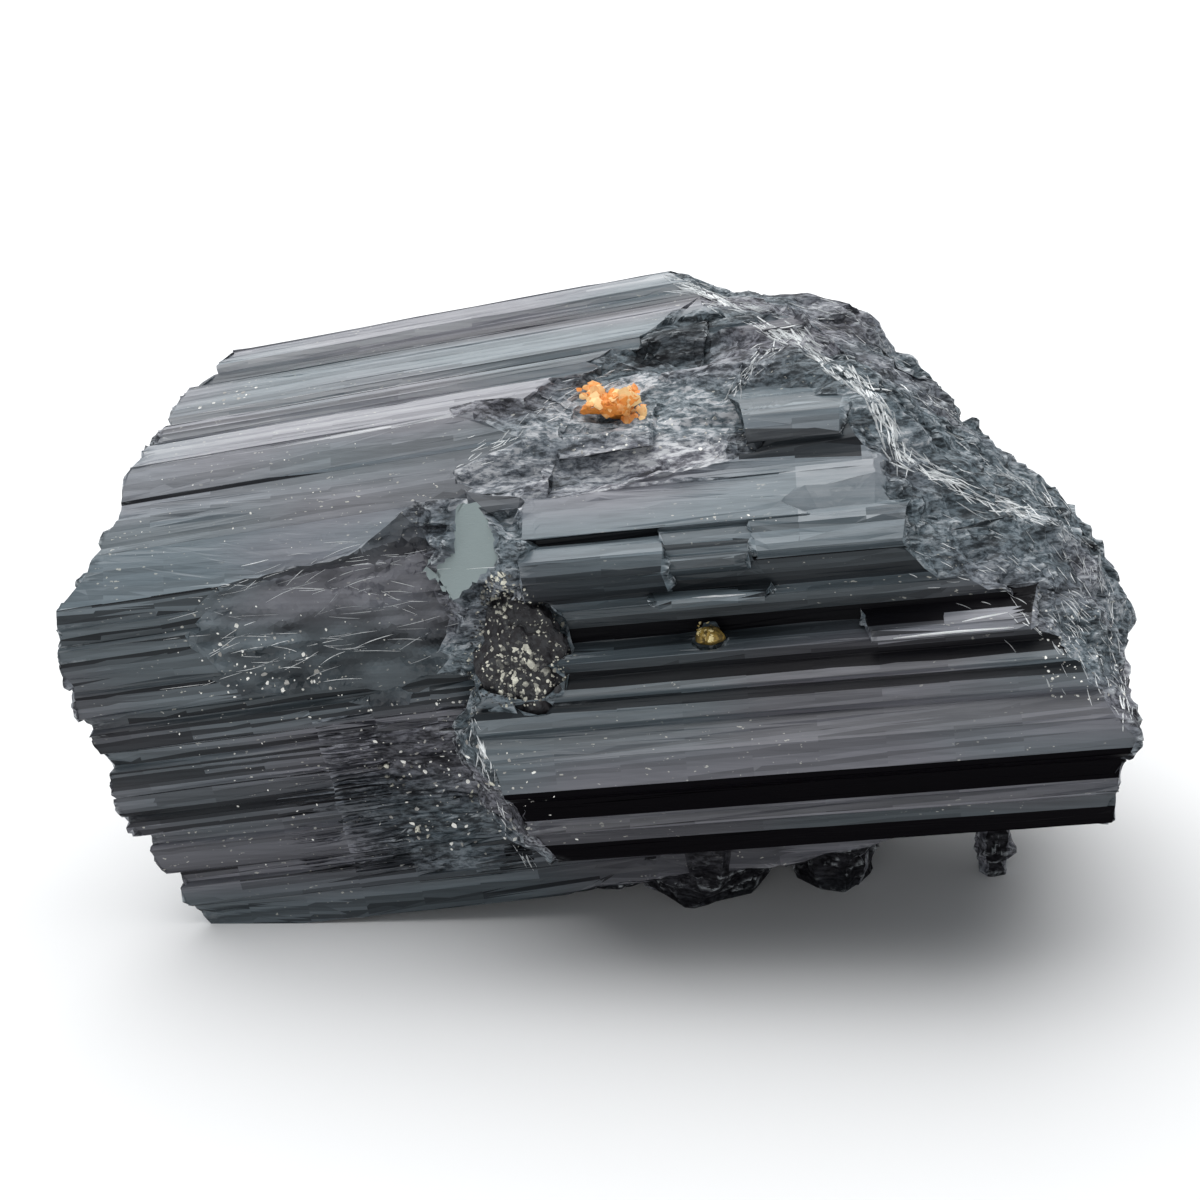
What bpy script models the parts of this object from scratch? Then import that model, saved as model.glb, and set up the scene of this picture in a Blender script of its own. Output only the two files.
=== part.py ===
"""Black tourmaline (schorl): two long ribbed prisms grown together, broken off at both ends, on one side.

Sizes are millimetres in a prism's own frame: u runs along the prism, v goes back and w goes up.
"""

import math
import random

import bmesh
import bpy
from mathutils import Vector, noise
from mathutils.bvhtree import BVHTree
from mathutils.geometry import delaunay_2d_cdt

MM = 0.001

# How the two prisms lie: the rise of the long axis above the ground and its turn towards the front,
# in degrees
MAIN_TILT, MAIN_TURN = 7.5, 0.0
FRONT_TILT, FRONT_TURN = 5.0, 2.0
AXIS_HEIGHT = 31.0
MAIN_FLARE = 0.0007  # the main prism is this much wider for each millimetre to the right

# The main prism's corners, v and w, and the ribs on the face that starts at each: width share and height
MAIN_FACES = [
    ((14.0, 26.6), [(3.4, 0.0), (4.2, -0.7), (7.2, 0.1), (1.4, -0.5), (2.4, 0.2), (1.6, -0.4), (4.0, 0.25)]),
    ((-10.0, 22.3), [(3.8, 0.0), (5.2, -0.15)]),
    ((-17.0, 16.0), [(1.0, 0.0)]),
    ((-20.0, 12.0), [(2.2, 0.0), (1.8, -0.4), (3.2, 0.1)]),
    ((-20.2, 4.5), [(1.6, -0.3), (3.0, 0.2), (1.4, -0.5), (2.6, 0.1), (1.8, -0.4), (3.6, 0.3)]),
    (
        (-18.4, -10.0),
        [(2.4, -0.5), (2.0, 0.2), (1.4, -0.4), (3.4, 0.3), (1.6, -0.5), (2.6, 0.1), (3.4, -0.3)],
    ),
    ((-16.4, -27.4), [(1.0, 0.0)]),
    ((-9.0, -29.4), [(4.0, 0.0), (3.0, -0.5), (4.0, 0.1)]),
    ((3.0, -29.2), [(3.0, 0.1), (2.6, -0.6), (4.6, 0.3)]),
    ((15.0, -23.5), [(3.2, -0.3), (2.4, 0.4), (4.6, -0.5), (2.2, 0.3), (3.4, -0.2)]),
    ((24.0, -9.0), [(4.4, 0.3), (3.2, -0.5), (3.0, 0.1)]),
    ((26.0, 3.0), [(3.0, 0.4), (4.6, -0.4), (2.4, 0.3), (4.0, -0.3)]),
    ((21.5, 17.5), [(3.2, 0.2), (4.4, -0.5), (3.2, 0.1)]),
]
MAIN_CENTRE = (3.0, 0.0)
MAIN_SPAN = (-62.0, 58.0)  # both prisms start out longer than the broken piece
RIB_WALL = 0.35  # width of the slope between two ribs

# The front prism's outline, v and w, from its buried top round the front to its buried underside.
# It is a saw: faces that lean up catch the light and the short ones under them lean in.
FRONT_OUTLINE = [
    (-9.0, 20.0),
    (-18.5, 15.3),
    (-21.7, 12.4),
    (-21.1, 11.8),
    (-21.9, 10.6),
    (-22.6, 9.0),
    (-22.4, 6.4),
    (-21.8, 4.9),
    (-21.9, 1.9),
    (-24.9, 1.2),
    (-24.6, -0.4),
    (-26.3, -1.6),
    (-25.9, -2.4),
    (-27.4, -4.0),
    (-27.0, -4.7),
    (-29.0, -6.5),
    (-29.6, -9.9),
    (-28.3, -11.0),
    (-28.1, -13.2),
    (-28.9, -14.0),
    (-26.9, -15.2),
    (-25.9, -18.6),
    (-21.5, -20.8),
    (-14.0, -23.0),
    (-6.0, -18.0),
    (-4.0, 0.0),
]
FRONT_SPAN = (-22.0, 58.0)

# Ledges that stand on the front prism: the u where each starts and ends, then its outline in v and w
LEDGES = {
    "left_block": (
        -3.2,
        9.4,
        [(-20.0, 11.6), (-21.9, 11.4), (-23.2, 10.7), (-24.4, 9.0), (-23.2, 6.6), (-20.0, 6.0)],
    ),
    "middle_block": (9.9, 17.6, [(-20.0, 12.0), (-21.8, 11.9), (-22.9, 10.7), (-22.6, 8.6), (-20.0, 8.0)]),
    "middle_step": (10.2, 17.0, [(-20.0, 10.0), (-23.0, 9.7), (-23.8, 8.9), (-23.0, 7.9), (-20.0, 7.6)]),
    "right_block": (18.2, 31.0, [(-20.0, 12.4), (-21.7, 12.2), (-23.9, 9.8), (-23.3, 8.9), (-20.0, 8.4)]),
    "shelf": (8.8, 18.4, [(-20.5, 6.6), (-24.2, 6.3), (-24.8, 5.6), (-20.5, 5.0)]),
    "low_shelf": (27.5, 41.5, [(-20.5, 3.4), (-24.8, 1.9), (-25.6, 1.0), (-20.5, 0.2)]),
    "crest_block": (17.8, 26.2, [(-8.0, 20.8), (-15.0, 19.9), (-16.6, 17.9), (-8.0, 14.0)]),
}
# Dark broken stubs on the slope behind them, in the main prism's frame
SLOPE_STUBS = {
    "upper_stub": (9.0, 14.4, [(3.0, 24.4), (-1.6, 23.9), (-4.4, 21.0), (-4.0, 18.0), (3.0, 18.0)]),
    "middle_stub": (0.4, 8.8, [(-8.0, 19.8), (-12.0, 19.0), (-14.0, 17.2), (-8.0, 15.0)]),
    "lower_stub": (-8.2, -0.8, [(-12.0, 17.4), (-16.8, 16.6), (-18.6, 14.6), (-12.0, 13.0)]),
}
END_SLANT = 1.1  # a ledge's end face leans by this much

# The flat slanting chip at the left end of the front prism: its corners u, v, w in the main prism's frame
CHIP_FACE = [
    (-9.2, -17.6, 15.8),
    (-12.9, -19.2, 10.6),
    (-10.0, -20.6, 6.6),
    (-5.0, -22.8, 8.6),
    (-3.4, -22.6, 12.6),
]
CHIP_ROOT = [(-4.0, -14.0, 14.0), (-6.0, -14.0, 5.0), (2.0, -18.0, 9.0)]

# The broken surfaces, each a table of points u, v, w that it runs through, in the main prism's frame.
# The first is the broken top and right shoulder.
TOP_BREAK = [
    # where the break starts on the flat top
    (-11.5, -14.5, 18.6),
    (-1.6, -10.0, 22.4),
    (4.8, -4.5, 23.6),
    (10.0, 0.0, 24.4),
    (14.4, 4.5, 25.0),
    (18.0, 1.5, 24.0),
    (13.0, 13.5, 26.2),
    # ledges in front of it
    (-7.8, -16.0, 16.4),
    (0.6, -13.5, 17.2),
    (5.4, -8.6, 19.4),
    (7.8, -16.2, 15.0),
    (12.0, -8.0, 20.2),
    (12.8, -14.6, 15.7),
    (12.9, -2.0, 22.4),
    (17.7, -12.5, 17.2),
    (-3.4, -18.5, 14.9),
    (4.0, -18.5, 15.2),
    (17.0, -18.5, 15.8),
    (24.5, -18.5, 16.0),
    (29.4, -18.0, 14.8),
    # the ridge from the peak down to the right end
    (23.0, -3.0, 24.3),
    (28.0, -9.0, 21.2),
    (31.6, -14.5, 16.8),
    (36.6, -15.5, 11.2),
    (41.2, -15.5, 7.0),
    (46.2, -15.0, 2.2),
    # the rough shoulder in front of the ridge
    (29.8, -22.2, 9.4),
    (30.4, -25.0, 3.0),
    (34.6, -21.0, 5.0),
    (39.9, -25.5, -0.6),
    (41.6, -21.0, 1.4),
    (43.6, -27.6, -4.8),
    (46.6, -23.0, -4.0),
    (48.6, -29.6, -10.2),
    (50.0, -13.0, -2.6),
    (50.2, -15.0, -7.2),
    (51.0, -19.0, -10.8),
    # the slope behind the ridge
    (18.2, 14.0, 22.6),
    (24.2, 15.0, 22.0),
    (29.0, 14.0, 20.2),
    (32.4, 12.0, 17.2),
    (33.8, 5.0, 13.0),
    (28.4, 3.0, 18.0),
    (36.0, 1.5, 13.0),
    (38.6, 0.0, 10.4),
    (41.2, -3.0, 7.6),
    (46.2, -5.0, 4.2),
    (48.8, -8.0, 0.8),
    (17.0, 21.0, 20.0),
    (24.0, 23.0, 15.5),
    (33.0, 22.0, 8.5),
    (42.0, 15.0, 0.5),
    (47.5, 8.0, -5.0),
    # out in the air
    (-20.0, -26.0, 24.0),
    (-18.0, -12.0, 26.0),
    (-9.0, -4.0, 28.0),
    (1.0, 6.0, 30.0),
    (4.0, 20.0, 33.0),
    (6.0, 40.0, 33.0),
    (-10.0, -40.0, 22.0),
    (12.0, -40.0, 22.0),
    (27.0, -40.0, 20.0),
    (31.5, -40.0, 5.0),
    (41.0, -40.0, -4.0),
    (49.0, -40.0, -13.0),
    (58.0, -32.0, -30.0),
    (58.0, -15.0, -30.0),
    (58.0, 5.0, -30.0),
    (56.0, 24.0, -28.0),
    (46.0, 40.0, -16.0),
    (28.0, 40.0, 8.0),
]
LEFT_BREAK = [
    (-35.6, 14.0, 26.6),
    (-37.9, 9.0, 25.7),
    (-39.4, 0.0, 23.6),
    (-40.6, -10.0, 22.3),
    (-42.9, -13.5, 19.5),
    (-44.7, -17.0, 16.0),
    (-49.2, -20.0, 12.4),
    (-50.2, -20.6, 7.0),
    (-50.2, -20.4, 4.5),
    (-49.2, -19.0, -3.0),
    (-49.4, -18.2, -10.7),
    (-48.2, -17.4, -15.0),
    (-45.8, -16.6, -21.0),
    (-43.8, -16.4, -26.6),
    (-41.0, -9.0, -30.0),
    (-41.5, -4.0, 8.0),
    (-40.5, 4.0, -8.0),
    (-37.5, 16.0, 4.0),
    (-38.0, 14.0, -22.0),
    (-36.5, 30.0, 0.0),
    (-34.0, 26.0, 24.0),
    (-34.5, 18.0, 38.0),
    (-38.5, 0.0, 36.0),
    (-44.0, -20.0, 36.0),
    (-47.5, -32.0, 16.0),
    (-47.0, -32.0, -8.0),
    (-42.0, -30.0, -38.0),
    (-40.0, 0.0, -40.0),
    (-37.0, 28.0, -36.0),
    (-36.0, 38.0, 10.0),
]
RIGHT_BREAK = [
    (50.0, -29.0, -4.0),
    (49.4, -29.5, -9.0),
    (46.8, -29.0, -13.0),
    (45.6, -27.0, -18.5),
    (42.5, -22.0, -23.5),
    (52.4, -18.0, 2.0),
    (49.5, -6.0, -14.0),
    (48.5, 4.0, -24.0),
    (50.5, 12.0, -6.0),
    (48.5, 20.0, 8.0),
    (46.0, -44.0, -8.0),
    (46.0, -36.0, 26.0),
    (45.0, -40.0, -40.0),
    (46.0, 0.0, -42.0),
    (45.0, 40.0, -36.0),
    (45.0, 40.0, 30.0),
    (53.0, 0.0, 34.0),
]
# The left end of the front prism, in its own frame
FRONT_LEFT_BREAK = [
    (-2.8, -20.5, 13.0),
    (-2.6, -23.5, 8.0),
    (-4.2, -23.0, 3.4),
    (-8.2, -25.0, 0.4),
    (-8.9, -28.0, -4.6),
    (-7.4, -29.6, -9.6),
    (-5.6, -28.4, -13.6),
    (-4.2, -25.8, -18.4),
    (-2.6, -20.0, -22.0),
    (-9.5, -18.0, 10.0),
    (-14.5, -17.5, -8.0),
    (-12.5, -16.0, -20.0),
    (-6.0, -6.0, 22.0),
    (0.0, -20.0, 30.0),
    (-1.0, -40.0, 16.0),
    (-4.0, -42.0, -6.0),
    (0.0, -36.0, -32.0),
    (-12.0, -6.0, -32.0),
    (-18.0, 2.0, -6.0),
]
# A shallow pitted scar on the front of the main prism, and a crumbly hollow beside the chip
SCAR = [
    (-37.0, -19.6, 8.0),
    (-31.0, -19.1, 10.6),
    (-25.0, -18.9, 11.2),
    (-19.0, -18.9, 12.0),
    (-28.0, -19.2, 5.2),
    (-20.0, -18.6, 5.6),
    (-33.0, -18.9, 2.4),
    (-24.0, -18.8, 0.6),
    (-18.5, -18.9, -3.0),
    (-13.6, -17.4, 13.0),
    (-11.5, -15.6, 16.0),
    (-12.0, -17.8, 8.0),
    (-42.0, -21.6, 6.0),
    (-34.0, -21.6, 14.5),
    (-21.0, -20.5, 15.0),
    (-15.5, -17.5, 18.5),
    (-10.0, -18.0, 21.0),
    (-4.0, -30.0, 14.0),
    (-6.0, -24.0, 0.0),
    (-11.0, -21.5, -6.0),
    (-19.0, -21.0, -8.5),
    (-29.0, -21.0, -3.5),
    (-38.0, -21.5, 0.0),
]
# The broken underside of the right half
UNDERSIDE = [
    (-38.0, -16.4, -28.6),
    (-28.0, -16.4, -26.5),
    (-21.0, -16.4, -27.9),
    (-13.0, -16.4, -27.7),
    (-4.0, -16.4, -26.8),
    (-38.0, -9.0, -34.0),
    (-12.0, -9.0, -34.0),
    (-38.0, 20.0, -36.0),
    (-12.0, 20.0, -36.0),
    (4.0, -16.4, -26.8),
    (4.0, -9.0, -30.0),
    (4.0, 12.0, -31.0),
    (20.0, -18.0, -25.4),
    (20.0, -9.0, -27.6),
    (20.0, 3.0, -28.6),
    (20.0, 15.0, -22.5),
    (30.0, -22.0, -22.6),
    (30.0, -14.0, -24.6),
    (32.0, -4.0, -27.0),
    (32.0, 12.0, -25.0),
    (42.0, -21.0, -21.6),
    (42.0, -12.0, -24.0),
    (44.0, 0.0, -25.5),
    (44.0, 14.0, -21.0),
    (56.0, -20.0, -19.0),
    (56.0, 14.0, -18.0),
    (56.0, -44.0, -34.0),
    (-42.0, -44.0, -44.0),
    (24.0, -40.0, -34.0),
    (24.0, 30.0, -26.0),
    (-42.0, 34.0, -40.0),
    (56.0, 34.0, -20.0),
]
# For each broken surface: the axis it is carried along and how far, the size of its facets on the other
# two axes, its roughness, the length of its bumps along u, v and w, and the height of its steps
BREAKS = {
    "top_break": (TOP_BREAK, 2, 50.0, (3.6, 1.9), 1.5, (17.0, 4.6, 6.0), 1.7),
    "left_break": (LEFT_BREAK, 0, -70.0, (3.0, 3.0), 1.7, (9.0, 5.5, 5.5), 0.0),
    "right_break": (RIGHT_BREAK, 0, 70.0, (3.0, 3.0), 1.7, (9.0, 5.5, 5.5), 0.0),
    "scar": (SCAR, 1, -50.0, (2.9, 1.8), 0.5, (12.0, 4.0, 3.5), 0.0),
    "underside": (UNDERSIDE, 2, -60.0, (4.6, 2.6), 1.3, (14.0, 5.0, 6.0), 0.0),
}
FRONT_BREAK = (FRONT_LEFT_BREAK, 0, -30.0, (2.4, 2.4), 1.0, (8.0, 4.5, 4.5), 0.0)
GROUND_SIZE = 300.0

# Lumps under the prism that it rests on: centre X and Y on the ground, height, and top and foot radius
FEET = {
    "bulge": (10.4, -7.8, 13.0, 12.5, 5.0),
    "stub": (23.4, -6.4, 14.0, 5.6, 3.9),
    "peg": (39.8, -6.3, 16.0, 3.2, 1.3),
    "back_lump": (20.0, 11.0, 16.0, 11.0, 5.0),
}
FOOT_SIDES = 9

# Other minerals in the rock: centre u, v, w, half sizes along u, v and w, and a tilt in degrees about u
FLECKS = {
    "iron_stained_feldspar": ((5.2, -9.8, 20.3), (3.2, 1.5, 1.1), -30.0),
    "yellow_feldspar_grain": ((12.2, -23.4, 1.6), (1.4, 1.0, 0.9), 0.0),
}
CRUST = ((-5.2, -23.0, 1.2), (4.4, 1.8, 7.0), -20.0)
GAP = 0.5  # clear space between a mineral grain and its pocket

TOURMALINE_BLACK = (0.018, 0.02, 0.021)
FELDSPAR_ORANGE = (0.8, 0.34, 0.08)
FELDSPAR_YELLOW = (0.55, 0.36, 0.08)
GRAIN_CREAM = (0.42, 0.38, 0.3)


class PrismFrame:
    """Turns a prism's own u, v, w into X, Y, Z, all in millimetres."""

    def __init__(self, tilt, turn, flare=0.0):
        rise, swing = math.radians(tilt), math.radians(turn)
        self.along = Vector(
            (math.cos(rise) * math.cos(swing), -math.cos(rise) * math.sin(swing), math.sin(rise))
        )
        self.back = Vector((math.sin(swing), math.cos(swing), 0))
        self.up = self.along.cross(self.back)
        self.flare = flare

    def point(self, u, v, w):
        grow = 1 + self.flare * u
        return Vector((0, 0, AXIS_HEIGHT)) + self.along * u + (self.back * v + self.up * w) * grow


def clear_scene():
    for obj in list(bpy.data.objects):
        bpy.data.objects.remove(obj)


def material(name, colour, roughness):
    made = bpy.data.materials.new(name)
    made.use_nodes = True
    shader = made.node_tree.nodes["Principled BSDF"]
    shader.inputs["Base Color"].default_value = (*colour, 1)
    shader.inputs["Roughness"].default_value = roughness
    shader.inputs["Metallic"].default_value = 0.0
    return made


def solid(name, bm):
    """Makes the mesh an object, with triangles only and its faces pointing out."""
    bmesh.ops.triangulate(bm, faces=bm.faces[:])
    bmesh.ops.recalc_face_normals(bm, faces=bm.faces[:])
    mesh = bpy.data.meshes.new(name)
    bm.to_mesh(mesh)
    bm.free()
    obj = bpy.data.objects.new(name, mesh)
    bpy.context.scene.collection.objects.link(obj)
    return obj


def combine(body, other, operation):
    """Joins the other solid to the body, or cuts it from the body, and removes the other."""
    step = body.modifiers.new(other.name, "BOOLEAN")
    step.operation = operation
    step.solver = "EXACT"
    step.object = other
    graph = bpy.context.evaluated_depsgraph_get()
    done = bpy.data.meshes.new_from_object(body.evaluated_get(graph))
    body.modifiers.remove(step)
    body.data = done
    bpy.data.objects.remove(other)


def ribbed_outline():
    """The main prism's outline with each face broken into flat ribs with short walls between them."""
    outline = []
    for index, ((v, w), ribs) in enumerate(MAIN_FACES):
        start = Vector((v, w))
        end = Vector(MAIN_FACES[(index + 1) % len(MAIN_FACES)][0])
        outward = Vector((end.y - start.y, start.x - end.x)).normalized()
        if outward.dot((start + end) / 2 - Vector(MAIN_CENTRE)) < 0:
            outward.negate()
        total = sum(width for width, height in ribs)
        wall = RIB_WALL / 2 / (end - start).length
        run = 0.0
        for number, (width, height) in enumerate(ribs):
            first = run / total + (wall if number else 0)
            run += width
            last = run / total - wall
            outline.append(start.lerp(end, first) + outward * height)
            if number + 1 < len(ribs):
                outline.append(start.lerp(end, last) + outward * height)
    return [(point.x, point.y) for point in outline]


def prism(name, frame, outline, span):
    """A plain bar with this outline, flat at both ends."""
    bm = bmesh.new()
    rings = [[bm.verts.new(frame.point(u, v, w)) for v, w in outline] for u in span]
    count = len(outline)
    for i in range(count):
        j = (i + 1) % count
        bm.faces.new((rings[0][i], rings[0][j], rings[1][j], rings[1][i]))
    bm.faces.new(rings[0])
    bm.faces.new(rings[1])
    return solid(name, bm)


def break_cutter(name, frame, points, axis, far, facets, roughness, bumps, step):
    """Everything beyond a broken surface: rough facets through the points, carried along one axis to far."""
    rng = random.Random(name)
    across = [i for i in range(3) if i != axis]
    flat = [Vector((point[across[0]], point[across[1]])) for point in points]
    corners, _, faces, origins, _, _ = delaunay_2d_cdt(flat, [], [], 0, 0.001)
    surface = BVHTree.FromPolygons(
        [(co.x, co.y, points[origin[0]][axis]) for co, origin in zip(corners, origins)], faces
    )
    low = [min(co[i] for co in flat) + 0.01 for i in range(2)]
    high = [max(co[i] for co in flat) - 0.01 for i in range(2)]
    counts = [int((high[i] - low[i]) / facets[i]) for i in range(2)]
    sizes = [(high[i] - low[i]) / counts[i] for i in range(2)]
    bm = bmesh.new()
    grid = {}
    for i in range(counts[0] + 1):
        for j in range(counts[1] + 1):
            inside = 0 < i < counts[0] and 0 < j < counts[1]
            sway = 0.34 if inside else 0.0
            a = low[0] + sizes[0] * (i + rng.uniform(-sway, sway))
            b = low[1] + sizes[1] * (j + rng.uniform(-sway, sway))
            hit = surface.ray_cast(Vector((a, b, 500)), Vector((0, 0, -1)))[0]
            if hit is None:
                continue
            place = [0.0, 0.0, 0.0]
            place[across[0]], place[across[1]], place[axis] = a, b, hit.z
            grain = Vector(part / size for part, size in zip(place, bumps))
            rough = noise.noise(grain) + 0.5 * noise.noise(grain * 2.3)
            place[axis] += roughness * rough
            if step:
                place[axis] += 0.55 * (round(place[axis] / step) * step - place[axis])
            grid[i, j] = bm.verts.new(place)
    for i in range(counts[0]):
        for j in range(counts[1]):
            cell = [grid.get(key) for key in ((i, j), (i + 1, j), (i + 1, j + 1), (i, j + 1))]
            if None in cell:
                continue
            if (i + j) % 2:
                cell = cell[1:] + cell[:1]
            bm.faces.new(cell[:3])
            bm.faces.new((cell[0], cell[2], cell[3]))
    bmesh.ops.delete(bm, geom=[vert for vert in bm.verts if not vert.link_faces], context="VERTS")
    grown = bmesh.ops.extrude_face_region(bm, geom=bm.faces[:])
    for item in grown["geom"]:
        if isinstance(item, bmesh.types.BMVert):
            item.co[axis] = far
    for vert in bm.verts:
        vert.co = frame.point(*vert.co)
    return solid(name, bm)


def prism_block(name, frame, start, end, outline):
    """A short bar with the given outline, whose end faces lean outwards at the root."""
    bm = bmesh.new()
    front = min(v for v, w in outline)
    rings = []
    for u, lean in ((start, -END_SLANT), (end, END_SLANT)):
        root = max(v for v, w in outline)
        rings.append(
            [
                bm.verts.new(frame.point(u + lean * (v - front) / (root - front), v, w))
                for v, w in outline
            ]
        )
    count = len(outline)
    for i in range(count):
        j = (i + 1) % count
        bm.faces.new((rings[0][i], rings[0][j], rings[1][j], rings[1][i]))
    bm.faces.new(rings[0])
    bm.faces.new(rings[1])
    return solid(name, bm)


def chip(frame):
    """A wedge of crystal with one flat slanting face."""
    bm = bmesh.new()
    for corner in CHIP_FACE + CHIP_ROOT:
        bm.verts.new(frame.point(*corner))
    bmesh.ops.convex_hull(bm, input=bm.verts[:])
    return solid("chip", bm)


def foot(name, x, y, height, top_radius, foot_radius, rng):
    """A stub of crystal under the prism: a rough cone with flat sides that narrows to the ground."""
    bm = bmesh.new()
    rings = []
    middle = (top_radius + foot_radius) * 0.52
    for z, radius in ((height, top_radius), (height * 0.4, middle), (-1.0, foot_radius)):
        ring = []
        for side in range(FOOT_SIDES):
            angle = 2 * math.pi * (side + rng.uniform(-0.3, 0.3)) / FOOT_SIDES
            reach = radius * rng.uniform(0.8, 1.15)
            ring.append(bm.verts.new((x + reach * math.cos(angle), y + reach * math.sin(angle), z)))
        rings.append(ring)
    for upper, lower in zip(rings, rings[1:]):
        for i in range(FOOT_SIDES):
            j = (i + 1) % FOOT_SIDES
            bm.faces.new((upper[i], upper[j], lower[j], lower[i]))
    bm.faces.new(rings[0])
    bm.faces.new(rings[-1])
    return solid(name, bm)


def ground_cutter():
    """Everything below the ground."""
    bm = bmesh.new()
    bmesh.ops.create_cube(bm, size=GROUND_SIZE)
    for vert in bm.verts:
        vert.co.z -= GROUND_SIZE / 2
    return solid("ground_cutter", bm)


def keep_main_body(obj):
    """Removes the crumbs that the cuts left loose."""
    bm = bmesh.new()
    bm.from_mesh(obj.data)
    unseen = set(bm.verts)
    bodies = []
    while unseen:
        waiting = [unseen.pop()]
        body = list(waiting)
        while waiting:
            vert = waiting.pop()
            for edge in vert.link_edges:
                other = edge.other_vert(vert)
                if other in unseen:
                    unseen.remove(other)
                    waiting.append(other)
                    body.append(other)
        bodies.append(body)
    bodies.sort(key=len)
    for crumb in bodies[:-1]:
        bmesh.ops.delete(bm, geom=crumb, context="VERTS")
    bm.to_mesh(obj.data)
    bm.free()


def lump(name, frame, centre, half_sizes, tilt, grow, seed):
    """A rough rounded grain of mineral, larger all round by grow."""
    bm = bmesh.new()
    bmesh.ops.create_icosphere(bm, subdivisions=2, radius=1.0)
    turn = math.radians(tilt)
    for vert in bm.verts:
        bumps = 1 + 0.22 * noise.noise(vert.co * 2.3 + Vector((seed, 0, 0)))
        u, v, w = (part * (half + grow) * bumps for part, half in zip(vert.co, half_sizes))
        v, w = v * math.cos(turn) - w * math.sin(turn), v * math.sin(turn) + w * math.cos(turn)
        vert.co = frame.point(centre[0] + u, centre[1] + v, centre[2] + w)
    return solid(name, bm)


def set_grain(rock, name, frame, centre, half_sizes, tilt, seed):
    """Cuts the grain's pocket in the rock and puts the grain in it."""
    combine(rock, lump(name + "_pocket", frame, centre, half_sizes, tilt, GAP, seed), "DIFFERENCE")
    return lump(name, frame, centre, half_sizes, tilt, 0.0, seed)


def finish(objects):
    """Makes the middle of the base of the box the origin, and turns millimetres into metres."""
    corners = [vert.co for obj in objects for vert in obj.data.vertices]
    low = [min(co[i] for co in corners) for i in range(3)]
    high = [max(co[i] for co in corners) for i in range(3)]
    shift = Vector((-(low[0] + high[0]) / 2, -(low[1] + high[1]) / 2, -low[2]))
    for obj in objects:
        for vert in obj.data.vertices:
            vert.co = (vert.co + shift) * MM
    print("shift in mm", [round(part, 3) for part in shift])
    print("size in mm", [round(high[i] - low[i], 2) for i in range(3)])


def build():
    clear_scene()
    rng = random.Random(11)
    main = PrismFrame(MAIN_TILT, MAIN_TURN, MAIN_FLARE)
    front = PrismFrame(FRONT_TILT, FRONT_TURN)

    rock = prism("tourmaline_crystals", main, ribbed_outline(), MAIN_SPAN)
    front_bar = prism("front_prism", front, FRONT_OUTLINE, FRONT_SPAN)
    combine(front_bar, break_cutter("front_break", front, *FRONT_BREAK), "DIFFERENCE")
    combine(rock, break_cutter("scar", main, *BREAKS["scar"]), "DIFFERENCE")
    combine(rock, front_bar, "UNION")
    for name in ("left_break", "right_break", "top_break", "underside"):
        combine(rock, break_cutter(name, main, *BREAKS[name]), "DIFFERENCE")
    for name, (start, end, outline) in LEDGES.items():
        combine(rock, prism_block(name, front, start, end, outline), "UNION")
    for name, (start, end, outline) in SLOPE_STUBS.items():
        combine(rock, prism_block(name, main, start, end, outline), "UNION")
    combine(rock, chip(main), "UNION")
    for name, sizes in FEET.items():
        combine(rock, foot(name, *sizes, rng), "UNION")
    combine(rock, ground_cutter(), "DIFFERENCE")

    flecks = [
        set_grain(rock, name, main, *sizes, seed)
        for seed, (name, sizes) in enumerate(FLECKS.items(), 1)
    ]
    crust = set_grain(rock, "pale_grain_crust", main, *CRUST, 5)
    keep_main_body(rock)

    rock.data.materials.clear()
    rock.data.materials.append(material("tourmaline", TOURMALINE_BLACK, 0.3))
    flecks[0].data.materials.append(material("orange_feldspar", FELDSPAR_ORANGE, 0.6))
    flecks[1].data.materials.append(material("yellow_feldspar", FELDSPAR_YELLOW, 0.6))
    crust.data.materials.append(material("pale_grains", GRAIN_CREAM, 0.6))
    finish([rock, *flecks, crust])


build()
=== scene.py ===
# %% [markdown]
# # A black tourmaline crystal
#
# The object is a hand-sized piece of black tourmaline: two long ribbed crystals grown side by side,
# snapped off at both ends, with a rough broken slope on top. This lesson dresses its CAD model.
# We load the model as a fixed frame, give the rock its fine relief and its material, add the grains of
# other minerals, and light it all softly from above.

# %% Load the frame
import math
import random

import bpy
import numpy as np
from mathutils import Matrix, Vector
from mathutils.bvhtree import BVHTree


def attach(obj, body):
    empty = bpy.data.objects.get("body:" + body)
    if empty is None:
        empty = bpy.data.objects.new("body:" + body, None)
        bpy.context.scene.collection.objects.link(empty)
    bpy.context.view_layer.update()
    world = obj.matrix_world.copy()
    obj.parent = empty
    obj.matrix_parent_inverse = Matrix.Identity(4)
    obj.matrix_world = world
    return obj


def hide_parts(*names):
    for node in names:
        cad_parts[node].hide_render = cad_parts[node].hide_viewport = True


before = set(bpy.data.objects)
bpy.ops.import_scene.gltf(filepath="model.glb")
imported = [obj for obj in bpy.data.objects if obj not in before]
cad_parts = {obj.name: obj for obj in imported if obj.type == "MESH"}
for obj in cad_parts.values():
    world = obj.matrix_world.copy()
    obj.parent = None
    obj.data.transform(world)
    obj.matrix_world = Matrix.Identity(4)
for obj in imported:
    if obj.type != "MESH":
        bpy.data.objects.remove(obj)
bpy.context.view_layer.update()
MM = 0.001

# %% [markdown]
# ## How the crystals lie
#
# Everything on a tourmaline follows its long axis: ribs, splinters and streaks. So we make a small frame
# for each crystal, with u along it, v to the back and w up, in millimetres, as the CAD script does.
# The same numbers turn any point of the model into those directions.

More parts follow.
